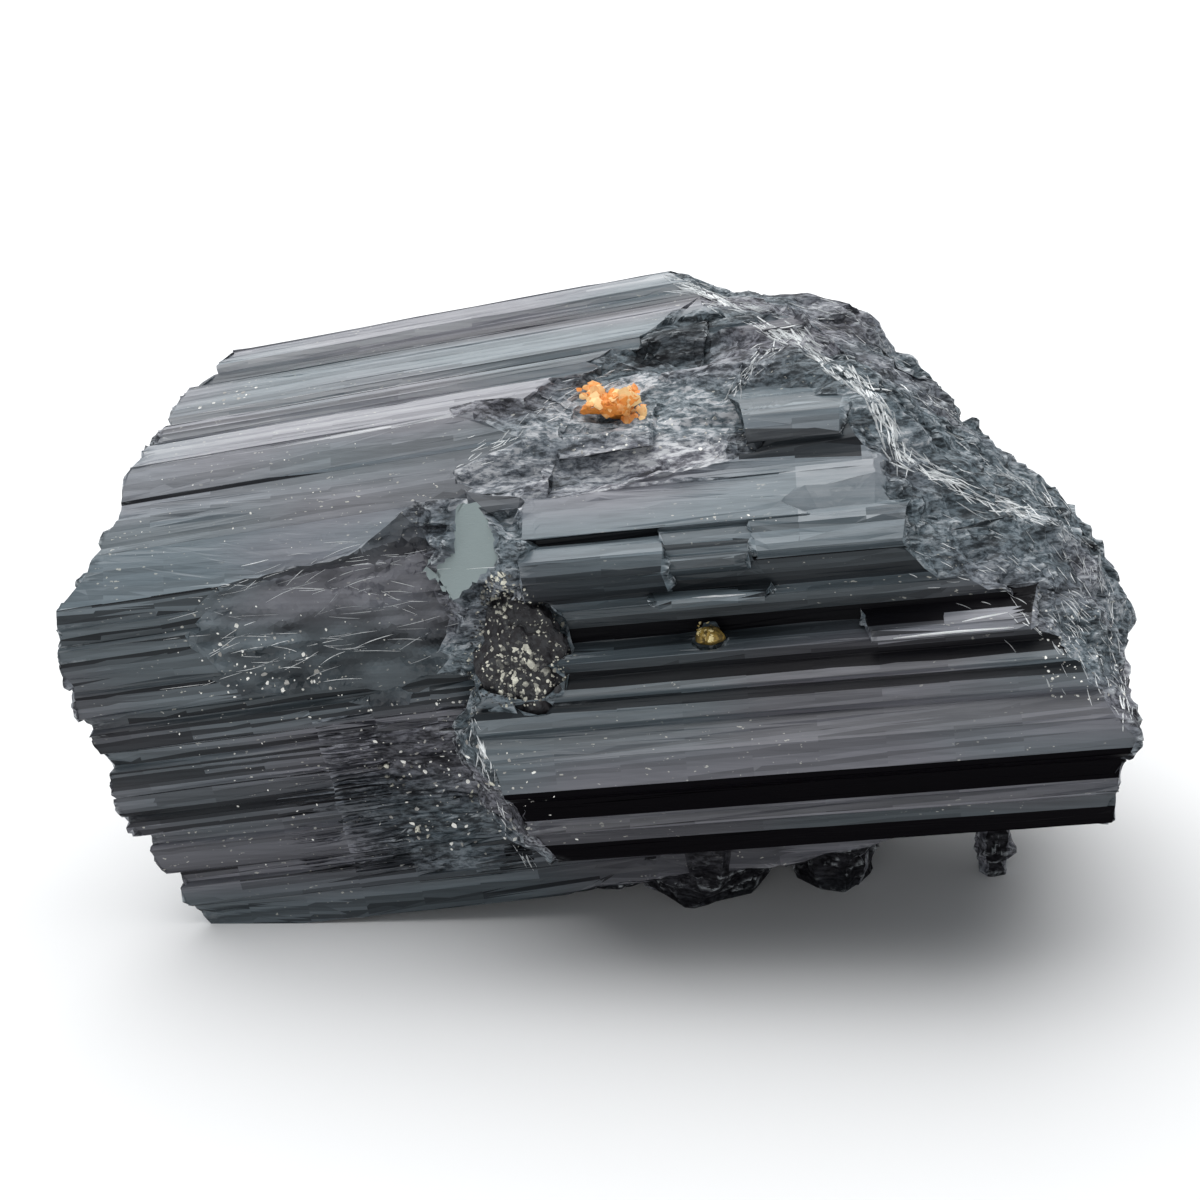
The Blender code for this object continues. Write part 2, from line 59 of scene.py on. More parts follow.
# %% Crystal axes
ORIGIN_SHIFT = np.array((-0.65, 2.14, 0.0))  # where the CAD script's own zero lies in the row frame, in mm
AXIS_HEIGHT = np.array((0.0, 0.0, 31.0))


def crystal_axes(tilt, turn):
    """The crystal's along, back and up directions as rows, from its rise and its turn to the front."""
    rise, swing = math.radians(tilt), math.radians(turn)
    along = Vector((math.cos(rise) * math.cos(swing), -math.cos(rise) * math.sin(swing), math.sin(rise)))
    back = Vector((math.sin(swing), math.cos(swing), 0))
    return np.array([along, back, along.cross(back)])


MAIN_TILT, MAIN_TURN = 7.5, 0.0
FRONT_TILT, FRONT_TURN = 5.0, 2.0
MAIN = crystal_axes(MAIN_TILT, MAIN_TURN)
FRONT = crystal_axes(FRONT_TILT, FRONT_TURN)


def in_crystal(axes, points):
    """Points of the row frame in metres as the crystal's u, v and w in mm."""
    return (points / MM - ORIGIN_SHIFT - AXIS_HEIGHT) @ axes.T


print("crystals rise by", MAIN_TILT, "and", FRONT_TILT, "degrees")

# %% [markdown]
# ## The camera
#
# The photograph looks at the crystal from the front, a little to the right and from 22 degrees above.
# A 65 mm lens from 22 cm away gives the same narrowing of the ribs towards the far end. The camera comes
# first, because small features are placed by where the photograph shows them.

# %% Camera
IMAGE_SIZE = 1200
LENS, SENSOR = 65.0, 36.0
CAMERA_AZIMUTH, CAMERA_ELEVATION, CAMERA_ROLL = 5.0, 22.0, 3.0
CAMERA_DISTANCE = 0.222
CAMERA_TARGET = Vector(ORIGIN_SHIFT + (0, 0, 28)) * MM  # the middle of the crystal's height
IMAGE_CENTRE = (600, 603)  # the pixel at which the target shows


def camera_axes():
    """The camera's right, up and back directions in the row frame."""
    azimuth, elevation, roll = (math.radians(a) for a in (CAMERA_AZIMUTH, CAMERA_ELEVATION, CAMERA_ROLL))
    flat = math.cos(elevation)
    back = Vector((math.sin(azimuth) * flat, -math.cos(azimuth) * flat, math.sin(elevation)))
    level = Vector((math.cos(azimuth), math.sin(azimuth), 0))
    up = back.cross(level)
    return level * math.cos(roll) - up * math.sin(roll), level * math.sin(roll) + up * math.cos(roll), back


CAMERA_RIGHT, CAMERA_UP, CAMERA_BACK = camera_axes()
TOWARDS_CAMERA = np.array(CAMERA_BACK)
CAMERA_PLACE = CAMERA_TARGET + CAMERA_BACK * CAMERA_DISTANCE
PIXELS_PER_UNIT = LENS / SENSOR * IMAGE_SIZE
lens = bpy.data.cameras.new("camera")
lens.lens = LENS
lens.sensor_width = SENSOR
lens.shift_x = (IMAGE_SIZE / 2 - IMAGE_CENTRE[0]) / IMAGE_SIZE
lens.shift_y = (IMAGE_CENTRE[1] - IMAGE_SIZE / 2) / IMAGE_SIZE
lens.clip_start = 0.01
lens.clip_end = 20.0
camera = bpy.data.objects.new("camera", lens)
turn = Matrix((CAMERA_RIGHT, CAMERA_UP, CAMERA_BACK)).transposed().to_4x4()
camera.matrix_world = Matrix.Translation(CAMERA_PLACE) @ turn
bpy.context.scene.collection.objects.link(camera)
bpy.context.scene.camera = camera


def pixel_ray(x, y):
    """The direction in which the camera sees a pixel of the 1200 pixel photograph."""
    across = (x - IMAGE_CENTRE[0]) / PIXELS_PER_UNIT
    upward = (IMAGE_CENTRE[1] - y) / PIXELS_PER_UNIT
    return (CAMERA_RIGHT * across + CAMERA_UP * upward - CAMERA_BACK).normalized()


def to_pixels(points):
    """Where the camera sees points, as arrays of x and y in the photograph's pixels."""
    away = points - np.array(CAMERA_PLACE)
    scale = PIXELS_PER_UNIT / -(away @ TOWARDS_CAMERA)
    x = IMAGE_CENTRE[0] + away @ np.array(CAMERA_RIGHT) * scale
    return x, IMAGE_CENTRE[1] - away @ np.array(CAMERA_UP) * scale


def inside(outline, x, y):
    """Whether pixels are inside an outline of pixels."""
    odd = np.zeros(np.shape(x), bool)
    for (x1, y1), (x2, y2) in zip(outline, outline[1:] + outline[:1]):
        if y1 != y2:
            odd ^= ((y1 > y) != (y2 > y)) & (x < (x2 - x1) * (y - y1) / (y2 - y1) + x1)
    return odd


def shows_in(outline, places, ways):
    """Whether places show inside an outline of pixels and their normals point to the camera."""
    return inside(outline, *to_pixels(places)) & (ways @ TOWARDS_CAMERA > 0)


print("camera", [round(part, 3) for part in CAMERA_PLACE])

# %% [markdown]
# ## A fine copy of the rock
#
# The CAD solid has the right form but only a few thousand triangles. To carry ribs and splinters we need a
# denser mesh in the same place. Remeshing would melt the crisp edges that make a crystal, so we keep every
# edge: the grown faces are sliced into narrow strips along the crystal, and the broken faces are divided
# evenly. Both are done by splitting edges. Each triangle beside a split edge is split too, so no gap opens.

# %% Splitting triangles
SNAP = 0.02 * MM  # a corner this near a cutting plane counts as on it
TINY = 1e-15  # keeps a division by a length of nothing from failing


def split_edges(points, triangles, tags, places_on_edge):
    """Splits marked edges and every triangle that has one. tags holds one row for each triangle.

    places_on_edge takes the edges' two ends and the edges of each triangle, and returns which to split
    and the new points.
    """
    pairs = np.sort(triangles[:, [0, 1, 1, 2, 2, 0]].reshape(-1, 2), axis=1)
    keys, which = np.unique(pairs[:, 0] * len(points) + pairs[:, 1], return_inverse=True)
    which = which.reshape(-1, 3)
    marks, places = places_on_edge(keys // len(points), keys % len(points), which)
    if not marks.any():
        return points, triangles, tags, False
    middle = np.where(marks, len(points) + np.cumsum(marks) - 1, -1)[which]
    points = np.concatenate([points, places[marks]])
    count = (middle >= 0).sum(axis=1)
    made, made_tags = [triangles[count == 0]], [tags[count == 0]]
    for number in (1, 2, 3):
        rows = count == number
        if not rows.any():
            continue
        corner, between = triangles[rows], middle[rows]
        if number < 3:
            # Turn each triangle so that its marked edges come first
            odd = np.argmax(between, axis=1) if number == 1 else np.argmin(between, axis=1) + 1
            order = (np.arange(3) + odd[:, None]) % 3
            corner = np.take_along_axis(corner, order, axis=1)
            between = np.take_along_axis(between, order, axis=1)
        a, b, c = corner.T
        ab, bc, ca = between.T
        parts = {
            1: [(a, ab, c), (ab, b, c)],
            2: [(ab, b, bc), (a, ab, bc), (a, bc, c)],
            3: [(a, ab, ca), (ab, b, bc), (ca, bc, c), (ab, bc, ca)],
        }[number]
        made += [np.stack(part, axis=1) for part in parts]
        made_tags += [tags[rows]] * len(parts)
    return points, np.concatenate(made), np.concatenate(made_tags), True


def slice_by_plane(points, triangles, tags, chosen, direction, offset):
    """Cuts the chosen triangles along one plane, so that strips of them end there."""
    side = points @ direction - offset
    side[np.abs(side) < SNAP] = 0.0
    of_corners = side[triangles]
    crossing = (of_corners.min(axis=1) < 0) & (of_corners.max(axis=1) > 0)
    if not (crossing & chosen).any():
        return points, triangles, tags, chosen

    def cut(first, second, which):
        crosses = side[first] * side[second] < 0
        wanted = np.zeros(len(first), bool)
        wanted[which[chosen[crossing]].ravel()] = True
        share = side[first] / np.where(crosses, side[first] - side[second], 1.0)
        return crosses & wanted, points[first] + (points[second] - points[first]) * share[:, None]

    both = np.column_stack([tags[crossing], chosen[crossing]])
    new_points, cut_triangles, cut_tags, _ = split_edges(points, triangles[crossing], both, cut)
    triangles = np.concatenate([triangles[~crossing], cut_triangles])
    tags = np.concatenate([tags[~crossing], cut_tags[:, :-1]])
    chosen = np.concatenate([chosen[~crossing], cut_tags[:, -1].astype(bool)])
    return new_points, triangles, tags, chosen


def normals_of(points, triangles):
    """Each triangle's normal, as long as twice its area."""
    a, b, c = (points[triangles[:, corner]] for corner in range(3))
    return np.cross(b - a, c - a)


# %% [markdown]
# ## Grown or broken
#
# A crystal's grown faces run along it, and a break doesn't. So the direction of each CAD face tells which of
# the two it is, and its length tells a rib from a splinter. Painting the faces by hand would do it too, but
# would have to be done again after each change of the model.

# %% The CAD rock as arrays
GROWN_MAIN, GROWN_FRONT, BROKEN, BASE, SCAR, CHIPS = range(6)
ALONG_LIMIT = 0.075  # a face whose normal leans along the crystal by less than this runs along it
LONG_FACE = 5.6 * MM  # a grown face is at least this long, and a broken facet is shorter
FLAT_COSINE = 0.9995  # two neighbouring triangles at least this much alike are one face
BASE_HEIGHT = 0.02 * MM  # the flat patch that the rock rests on is all below this
MERGE = 1e-7  # corners nearer than this, in metres, are one corner
SAME_PLANE = math.radians(0.6)  # faces that meet at a smaller angle are one face
NORMAL_SCALE = 1e6  # a triangle's tags are whole numbers, so they hold its normal in millionths
HIDDEN_LEAN = -0.1  # a face that turns away from the camera by more than this is hidden
# Rubble whose small facets happen to lie along the crystal: outlines in the photograph's pixels
RUBBLE = [
    [(446, 462), (500, 428), (560, 402), (640, 368), (738, 392), (726, 455), (690, 490), (640, 503),
     (512, 498)],
    [(636, 314), (710, 312), (716, 370), (636, 372)],
]
RUBBLE_BACK = 16.0  # how far back it reaches, as v in mm
# The reach of the pitted scar on the main crystal, as u, v, w in mm
SCAR_LOW, SCAR_HIGH = np.array((-45.0, -24.0, -6.0)), np.array((-13.0, -17.0, 15.0))


def as_arrays(obj):
    """A triangle mesh's points in the row frame and its corner numbers. The object is used up."""
    points = np.array([obj.matrix_world @ vert.co for vert in obj.data.vertices])
    triangles = np.array([tuple(face.vertices) for face in obj.data.polygons], dtype=np.int64)
    bpy.data.objects.remove(obj)
    return points, triangles


def node_arrays(node):
    """The points and triangles of a CAD node, with its doubled corners and split flat faces merged first."""
    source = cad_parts[node]
    made = bpy.data.objects.new(node + "_copy", source.data.copy())
    bpy.context.scene.collection.objects.link(made)
    made.matrix_world = source.matrix_world
    bpy.ops.object.select_all(action="DESELECT")
    made.select_set(True)
    bpy.context.view_layer.objects.active = made
    bpy.ops.object.mode_set(mode="EDIT")
    bpy.ops.mesh.select_all(action="SELECT")
    bpy.ops.mesh.remove_doubles(threshold=MERGE)
    bpy.ops.mesh.dissolve_limited(angle_limit=SAME_PLANE)
    bpy.ops.mesh.quads_convert_to_tris(quad_method="SHORTEST_DIAGONAL", ngon_method="BEAUTY")
    bpy.ops.object.mode_set(mode="OBJECT")
    return as_arrays(made)


def spread_over_flat(started, allowed, triangles, normals):
    """Spreads a mark from triangle to triangle across edges where the surface doesn't bend."""
    pairs = np.sort(triangles[:, [0, 1, 1, 2, 2, 0]].reshape(-1, 2), axis=1)
    keys = pairs[:, 0] * (triangles.max() + 1) + pairs[:, 1]
    order = np.argsort(keys, kind="stable")
    same = keys[order][1:] == keys[order][:-1]
    one, other = order[:-1][same] // 3, order[1:][same] // 3
    flat = (normals[one] * normals[other]).sum(axis=1) > FLAT_COSINE
    one, other = one[flat], other[flat]
    marked, count = started.copy(), -1
    while count != marked.sum():
        count = marked.sum()
        marked[other[marked[one]]] = True
        marked[one[marked[other]]] = True
        marked &= allowed
    return marked


points, triangles = node_arrays("tourmaline_crystals")
normals = normals_of(points, triangles)
normals /= np.maximum(np.linalg.norm(normals, axis=1), TINY)[:, None]
leans = np.abs(normals @ np.array([MAIN[0], FRONT[0]]).T)
lengthwise = leans.min(axis=1) < ALONG_LIMIT
long_enough = np.ptp(points[triangles] @ MAIN[0], axis=1) > LONG_FACE
grown = spread_over_flat(lengthwise & long_enough, lengthwise, triangles, normals)
kinds = np.where(grown, np.where(leans[:, 0] < leans[:, 1], GROWN_MAIN, GROWN_FRONT), BROKEN)
kinds[points[triangles][:, :, 2].max(axis=1) < BASE_HEIGHT] = BASE
middles = points[triangles].mean(axis=1)
local = in_crystal(MAIN, middles)
for outline in RUBBLE:
    kinds[shows_in(outline, middles, normals) & (local[:, 1] < RUBBLE_BACK)] = BROKEN
kinds[(kinds == BROKEN) & ((local > SCAR_LOW) & (local < SCAR_HIGH)).all(axis=1)] = SCAR
tags = np.column_stack([kinds, normals * NORMAL_SCALE]).astype(np.int64)
print("CAD triangles of each kind", np.bincount(kinds).tolist())

# %% [markdown]
# ## Strips and facets
#
# A fine rib is as long as the crystal but only a millimetre or two wide, so the grown faces are cut into long
# narrow strips. A break gets small even triangles instead. Where chips have broken out of the ribs, the
# strips are cut short and then treated as a break. The back stays coarser, because the photograph doesn't
# show it.

# %% Slice the grown faces and divide the broken ones
STRIP_WIDTH = 0.45 * MM
STRIP_LENGTH = 6.0 * MM
HIDDEN_STEP = 2  # strips at the back and below are this many times as wide and long
BROKEN_EDGE = 0.8 * MM
HIDDEN_EDGE = 2.1 * MM
# Where chips have broken out of the ribs at the lower front: an outline in the photograph's pixels
CHIPPED = [(345, 712), (410, 735), (500, 700), (530, 760), (500, 872), (362, 872), (338, 790)]
CHIPPED_RAGGED = 40  # how far its ends jump from one rib to the next, in pixels
CHIPPED_WAVE = 1.9  # how fast they jump down the picture, in radians for each pixel
CHIPPED_BACK = -10.0  # it is all in front of this v, in mm


def is_seen(tags):
    """Which triangles the camera can see, from the normals in their tags."""
    return tags[:, 1:4] @ TOWARDS_CAMERA > HIDDEN_LEAN * NORMAL_SCALE


def slice_family(points, triangles, tags, kind, axes, number, spacing, seen):
    """Cuts one crystal's seen or hidden faces by evenly spaced planes across its axis of this number."""
    facing = np.abs(tags[:, 1:4] @ axes.T)
    chosen = (tags[:, 0] == kind) & (is_seen(tags) == seen)
    if number > 0:
        # A face that looks up is cut across the back axis, and one that looks front across the up axis
        chosen &= facing[:, number] <= facing[:, 3 - number]
    direction = axes[number]
    reach = points @ direction / spacing
    for step in range(math.ceil(reach.min()), math.floor(reach.max()) + 1):
        points, triangles, tags, chosen = slice_by_plane(
            points, triangles, tags, chosen, direction, step * spacing
        )
    return points, triangles, tags


def long_broken_edges(first, second, which):
    """Marks the longest edge of each broken face that is still too long, at its middle."""
    length = np.linalg.norm(points[first] - points[second], axis=1)
    broken_faces = np.isin(tags[:, 0], (BROKEN, SCAR))
    limit = np.full(len(first), np.inf)
    limit[which[broken_faces].ravel()] = HIDDEN_EDGE
    limit[which[broken_faces & is_seen(tags)].ravel()] = BROKEN_EDGE
    longest = np.zeros(len(first), bool)
    edges = which[broken_faces]
    longest[np.take_along_axis(edges, length[edges].argmax(axis=1)[:, None], axis=1)] = True
    return longest & (length > limit), (points[first] + points[second]) / 2


for kind, axes in ((GROWN_MAIN, MAIN), (GROWN_FRONT, FRONT)):
    for seen, step in ((True, 1), (False, HIDDEN_STEP)):
        for number, size in ((1, STRIP_WIDTH), (2, STRIP_WIDTH), (0, STRIP_LENGTH)):
            points, triangles, tags = slice_family(
                points, triangles, tags, kind, axes, number, size * step, seen
            )
middles = points[triangles].mean(axis=1)
x, y = to_pixels(middles)
chipped = inside(CHIPPED, x + CHIPPED_RAGGED * np.sin(CHIPPED_WAVE * y), y) & (tags[:, 0] == GROWN_MAIN)
chipped &= (tags[:, 1:4] @ TOWARDS_CAMERA > 0) & (in_crystal(MAIN, middles)[:, 1] < CHIPPED_BACK)
tags[chipped, 0] = CHIPS
points, triangles, tags = slice_family(points, triangles, tags, CHIPS, MAIN, 0, BROKEN_EDGE, True)
more = True
while more:
    points, triangles, tags, more = split_edges(points, triangles, tags, long_broken_edges)
tags[tags[:, 0] == CHIPS, 0] = BROKEN
kinds = tags[:, 0]
print("fine mesh", len(points), "points and of each kind", np.bincount(kinds).tolist(), "triangles")

# %% [markdown]
# ## Relief
#
# Fresh breaks in tourmaline are hackly: little steps and splinters drawn out along the crystal. The grown
# faces carry fine ribs of uneven width. Both come from noise that is stretched along u. Blender's own noise
# takes one point at a time, so a small function of our own works on all of them at once.

# %% Noise on arrays
# Large odd numbers that stir a cell's three numbers into one that looks random, and the bits kept of it
LATTICE_FACTORS = (374761393, 668265263, 2147483647)
LAST_FACTOR = 2246822519
LATTICE_BITS = 0xFFFFFF


def lattice(cells, seed):
    """A repeatable random number from 0 to 1 for each whole-number cell."""
    mixed = np.zeros(cells.shape[:-1], dtype=np.uint64) + np.uint64(seed * 7919 + 17)
    for axis, factor in enumerate(LATTICE_FACTORS):
        mixed = (mixed ^ cells[..., axis].astype(np.int64).astype(np.uint64)) * np.uint64(factor)
        mixed ^= mixed >> np.uint64(15)
    mixed = mixed * np.uint64(LAST_FACTOR)
    mixed ^= mixed >> np.uint64(29)
    return (mixed & np.uint64(LATTICE_BITS)).astype(float) / LATTICE_BITS


def smooth_noise(local, lengths, seed):
    """Noise from -1 to 1 whose bumps have these lengths in mm along u, v and w."""
    spot = local / np.array(lengths)
    cell = np.floor(spot)
    share = spot - cell
    share = share * share * (3 - 2 * share)
    total = np.zeros(len(local))
    for corner in range(8):
        offset = np.array([corner & 1, corner >> 1 & 1, corner >> 2])
        weight = np.prod(np.where(offset == 1, share, 1 - share), axis=1)
        total += weight * lattice(cell + offset, seed)
    return total * 2 - 1


def strip_cells(local, facing, length, width, seed):
    """A random number for each strip cell of a grown face, this long and wide in mm."""
    across = local[:, 1] * facing[:, 2] - local[:, 2] * facing[:, 1]
    row = np.floor(across / width)
    shift = lattice(np.column_stack([row * 0, row, row * 0]), seed + 50)
    return lattice(np.column_stack([np.floor(local[:, 0] / length + shift), row, row * 0]), seed)


# %% [markdown]
# ## How high the ribs and steps stand
#
# Each height is in millimetres along the surface's normal. Coarse bumps, small bumps and sudden ledges make
# the break. Strips of chance height make the ribs, and worn spots interrupt them. Moving real points, and not
# only shading them, lets the outline and the shadows show the relief too.

# %% Relief of ribs and breaks
SMOOTH_FACE_W = (13.0, 21.5)  # the satin face of the main crystal, from w to w in mm
FLAT_TOP_W = (12.3, 16.6)  # the smooth flat face on top of the front crystal, from w to w in mm
SATIN_SHARE = 0.3  # how much of the ribs' height is left on those two faces


def broken_relief(local):
    """Height in mm of the hackly break."""
    bumps = 0.5 * smooth_noise(local, (6.0, 1.6, 1.6), 3) + 0.3 * smooth_noise(local, (2.4, 0.8, 0.8), 7)
    ledge = np.where(smooth_noise(local, (7.0, 1.3, 1.1), 11) > 0.15, 0.4, 0.0)
    chips = 0.14 * smooth_noise(local, (1.2, 0.6, 0.6), 5)
    return bumps + chips - ledge


def rib_relief(local, facing):
    """Height in mm of the fine ribs on a grown face, and of the places where they are worn."""
    ribs = 0.12 * strip_cells(local, facing, 40.0, 1.8, 21) + 0.08 * strip_cells(local, facing, 25.0, 0.9, 22)
    u, v, w = local.T
    satin = (v < -10) & (w > SMOOTH_FACE_W[0]) & (w < SMOOTH_FACE_W[1])
    ribs = np.where(satin & (u < -2), ribs * SATIN_SHARE, ribs)
    flat = (v < -20) & (w > FLAT_TOP_W[0]) & (w < FLAT_TOP_W[1])
    ribs = np.where(flat, ribs * SATIN_SHARE, ribs)
    worn = np.clip(smooth_noise(local, (12.0, 5.0, 5.0), 23) * 2.5 - 0.7, 0, 1)
    return -ribs - worn * 0.25 * np.abs(smooth_noise(local, (3.0, 0.8, 0.8), 24))


def to_points(values, weights):
    """Averages a value of the triangles onto their points, weighted by area."""
    total, share = np.zeros(len(points)), np.zeros(len(points))
    for corner in range(3):
        np.add.at(total, triangles[:, corner], values * weights)
        np.add.at(share, triangles[:, corner], weights)
    return total / np.maximum(share, TINY)


def relaxed(points, free, rounds):
    """Moves the free points towards the middle of their neighbours, which rounds off coarse facets."""
    first, second = triangles.ravel(), triangles[:, [1, 2, 0]].ravel()
    for _ in range(rounds):
        total, count = np.zeros_like(points), np.zeros(len(points))
        for here, there in ((first, second), (second, first)):
            np.add.at(total, here, points[there])
            np.add.at(count, here, 1)
        points = np.where(free[:, None], total / count[:, None], points)
    return points


def smooth_normals():
    """The triangles' areas and each point's normal."""
    normals = normals_of(points, triangles)
    area = np.linalg.norm(normals, axis=1)
    mixed = [to_points(normals[:, axis] / np.maximum(area, TINY), area) for axis in range(3)]
    mixed = np.column_stack(mixed)
    return area, mixed / np.maximum(np.linalg.norm(mixed, axis=1), TINY)[:, None]


# %% [markdown]
# ## Raise the relief
#
# A few faces in the break are smoother than the rest: the slanting chip at the left, the peak's front and the
# flat top's right part. They are found by where the photograph shows them, and their relief is lowered. The
# bottom stays as it is, so that the rock rests on the same plane as its CAD model.

# %% Move the points
PIN_HEIGHT = 0.4 * MM  # below this height the rock touches the ground and stays as it is
SCAR_ROUNDS = 14  # how often the scar's points are evened out
END_ON = 0.8  # a face whose normal leans along the crystal by more than this is an end face
SCAR_SHARE = 0.6  # how much of the break's relief the worn scar has
SMOOTH_SHARE, FLAT_SHARE = 0.4, 0.15  # how much height is left on the smoother faces and on the flat patch
# The smooth chip at the left end of the front crystal: its outline in the photograph, the middle of its
# flat face as u, v, w in mm, the way that it faces, and how near to it the rock must be to be part of it
CHIP_OUTLINE = [(452, 503), (482, 498), (492, 540), (497, 562), (463, 604), (424, 571), (446, 551),
                (450, 520)]
CHIP_MIDDLE = np.array((-8.6, -20.0, 11.2))
CHIP_NORMAL = np.array((-0.39, -0.77, 0.51)) / np.linalg.norm((-0.39, -0.77, 0.51))
CHIP_REACH = 2.6
# Smoother faces in the broken zone: the front of the peak and a wedge below the ridge
SMOOTH_FACES = [
    [(790, 338), (748, 384), (744, 402), (832, 402), (852, 386)],
    [(935, 476), (1000, 505), (1012, 520), (950, 522)],
]
# The right part of the front crystal's flat top, which the model has as a broken face
FLAT_PATCH = [(772, 470), (884, 452), (892, 518), (772, 524)]

area, point_normals = smooth_normals()
off_chip = (in_crystal(MAIN, points) - CHIP_MIDDLE) @ CHIP_NORMAL
on_chip = shows_in(CHIP_OUTLINE, points, point_normals) & (np.abs(off_chip) < CHIP_REACH)
points = points - np.where(on_chip, off_chip, 0)[:, None] * (CHIP_NORMAL @ MAIN) * MM
print(int(on_chip.sum()), "points moved onto the chip, by up to", np.abs(off_chip[on_chip]).max(), "mm")
scar_share = to_points((kinds == SCAR).astype(float), area)
points = relaxed(points, scar_share > 0.999, SCAR_ROUNDS)
area, point_normals = smooth_normals()
broken_share = to_points((kinds == BROKEN).astype(float), area)
local = in_crystal(MAIN, points)
facing = point_normals @ MAIN.T
grown_share = 1 - broken_share - scar_share
end_on = np.abs(facing[:, 0]) > END_ON
coarse = 0.7 * smooth_noise(local, (4.0, 5.0, 5.0), 8)
coarse += 0.5 * np.abs(smooth_noise(local, (3.0, 2.2, 2.2), 9))
height = (broken_share + SCAR_SHARE * scar_share) * broken_relief(local)
height += grown_share * rib_relief(local, facing)
height += broken_share * np.where(end_on, coarse, 0.0)
height += scar_share * 0.25 * smooth_noise(local, (30.0, 30.0, 1.8), 25)
height[on_chip] = 0.0
on_smooth = np.zeros(len(points), bool)
for outline in SMOOTH_FACES:
    on_smooth |= shows_in(outline, points, point_normals)
height = np.where(on_smooth, height * SMOOTH_SHARE, height)
on_flat = shows_in(FLAT_PATCH, points, point_normals)
height = np.where(on_flat, height * FLAT_SHARE, height)
height *= np.clip((points[:, 2] / PIN_HEIGHT - 1) / 2, 0, 1)
points = points + point_normals * height[:, None] * MM
print("relief from", height.min().round(2), "to", height.max().round(2), "mm")

# %% [markdown]
# ## Light and dark bands
#
# No two faces of the crystal have the same finish. Some are hazed with fine mica and shine grey, and the
# sheltered ones between them stay a deep glossy black. The bands' tones are also painted light: faces that
# look up to the overhead light are painted lighter, a painted sheen, and grooves, overhangs and faces that
# look down are painted darker, a painted shade. We note the bands once, by their height w on each crystal,
# and keep a tone
# for every triangle: 0 is deep black, 1 is hazed grey, and up to 2.2 is paler still, a painted highlight.
# The shader turns it into colour and polish.

# %% Where the bands are
# Each list of bands starts with its highest place in mm. Then come the bands down from there, each as the
# place where it ends and its tone.
# A band's tone is partly its mica haze and partly painted light: faces that look up are painted lighter, a
# painted sheen of the overhead light, and grooves, overhangs and faces that look down are painted darker, a
# painted shade.
FRONT_BANDS = (23.0, [
    (18.3, 0.8), (16.6, 0.15), (12.3, 0.97), (9.2, 0.85), (7.3, 0.3), (5.9, 0.18), (4.0, 0.52), (3.4, 0.3),
    (2.0, 0.03), (1.5, 0.3), (1.1, 0.62), (0.3, 0.28), (-1.3, 0.1), (-2.1, 0.65), (-3.0, 0.2), (-6.5, 0.62),
    (-9.4, 0.68), (-13.1, 0.0), (-14.1, 0.65), (-16.5, 0.38), (-24.0, 0.0),
])
# The three blocks on the front crystal: from u and to u in mm, and their own bands
BLOCK_BANDS = [
    (-6.0, 8.6, (12.3, [(11.5, 0.1), (10.3, 0.95), (9.6, 0.5), (8.6, 0.25)])),
    (8.6, 17.6, (12.3, [(11.1, 0.85), (10.35, 0.35), (9.5, 0.85), (8.6, 0.45)])),
    (17.6, 40.0, (12.3, [(11.6, 0.85), (11.2, 0.6), (9.9, 0.97), (9.3, 0.6), (8.6, 0.1)])),
]
MAIN_BANDS = (30.0, [
    (21.7, 1.7), (17.2, 0.78), (12.8, 0.6), (11.3, 0.3), (4.6, 0.62), (-3.4, 0.46), (-11.6, 0.52),
    (-12.6, 0.2), (-40.0, 0.58),
])
# The main crystal's flat top has its bands along v. Its high tones are a painted sheen of the overhead light
# on a face that looks up.
TOP_BANDS = (16.0, [
    (12.6, 1.28), (10.6, 1.08), (9.4, 0.62), (7.0, 0.5), (5.4, 0.58), (2.5, 0.9), (-0.2, 0.87), (-1.4, 0.78),
    (-2.9, 0.84), (-3.8, 0.58), (-4.6, 0.95), (-6.0, 0.74), (-8.0, 1.08), (-10.4, 1.05),
])
# Tones outside the bands, on the chip and on the flat patch, and the palest tone
FRONT_TONE, SIDE_TONE, TOP_TONE = 0.3, 0.5, 0.6
# FLAT_TONE paints the flat top, which looks up to the light, lighter: a painted sheen.
CHIP_TONE, FLAT_TONE, SMOOTH_TONE, MOST_TONE = 0.9, 1.35, 0.7, 2.2
# The shaded front of the block below the peak, which the patches below paint darker as painted shade
BLOCK_FRONT = [(728, 430), (836, 428), (842, 456), (728, 458)]
# Patches of grown faces with a tone of their own, the block's front a painted shade: outlines in the
# photograph's pixels, and tone
GROWN_PATCHES = [
    ([(880, 640), (958, 612), (1015, 605), (1022, 627), (888, 643)], 0.8),
    ([(650, 591), (748, 589), (748, 601), (652, 604)], 0.85),
    (BLOCK_FRONT, 0.25),
]
# Lighter and darker parts of the broken zone: outlines in the photograph's pixels, and a factor on the tone.
# The first, which faces away from the light, and the block's front are darkened as painted shade.
BROKEN_PATCHES = [
    ([(636, 318), (708, 318), (712, 366), (636, 368)], 0.5),
    (CHIPPED, 0.72),
    ([(440, 458), (500, 440), (560, 402), (640, 372), (735, 400), (736, 450), (700, 505), (450, 512)], 1.65),
    (BLOCK_FRONT, 0.5),
    ([(728, 396), (836, 396), (842, 428), (728, 428)], 1.25),
]


def banded(place, bands, otherwise):
    """The tone of the band that each place is in."""
    high, rows = bands
    tone = otherwise
    for low, band_tone in rows:
        tone = np.where((place >= low) & (place < high), band_tone, tone)
        high = low
    return tone


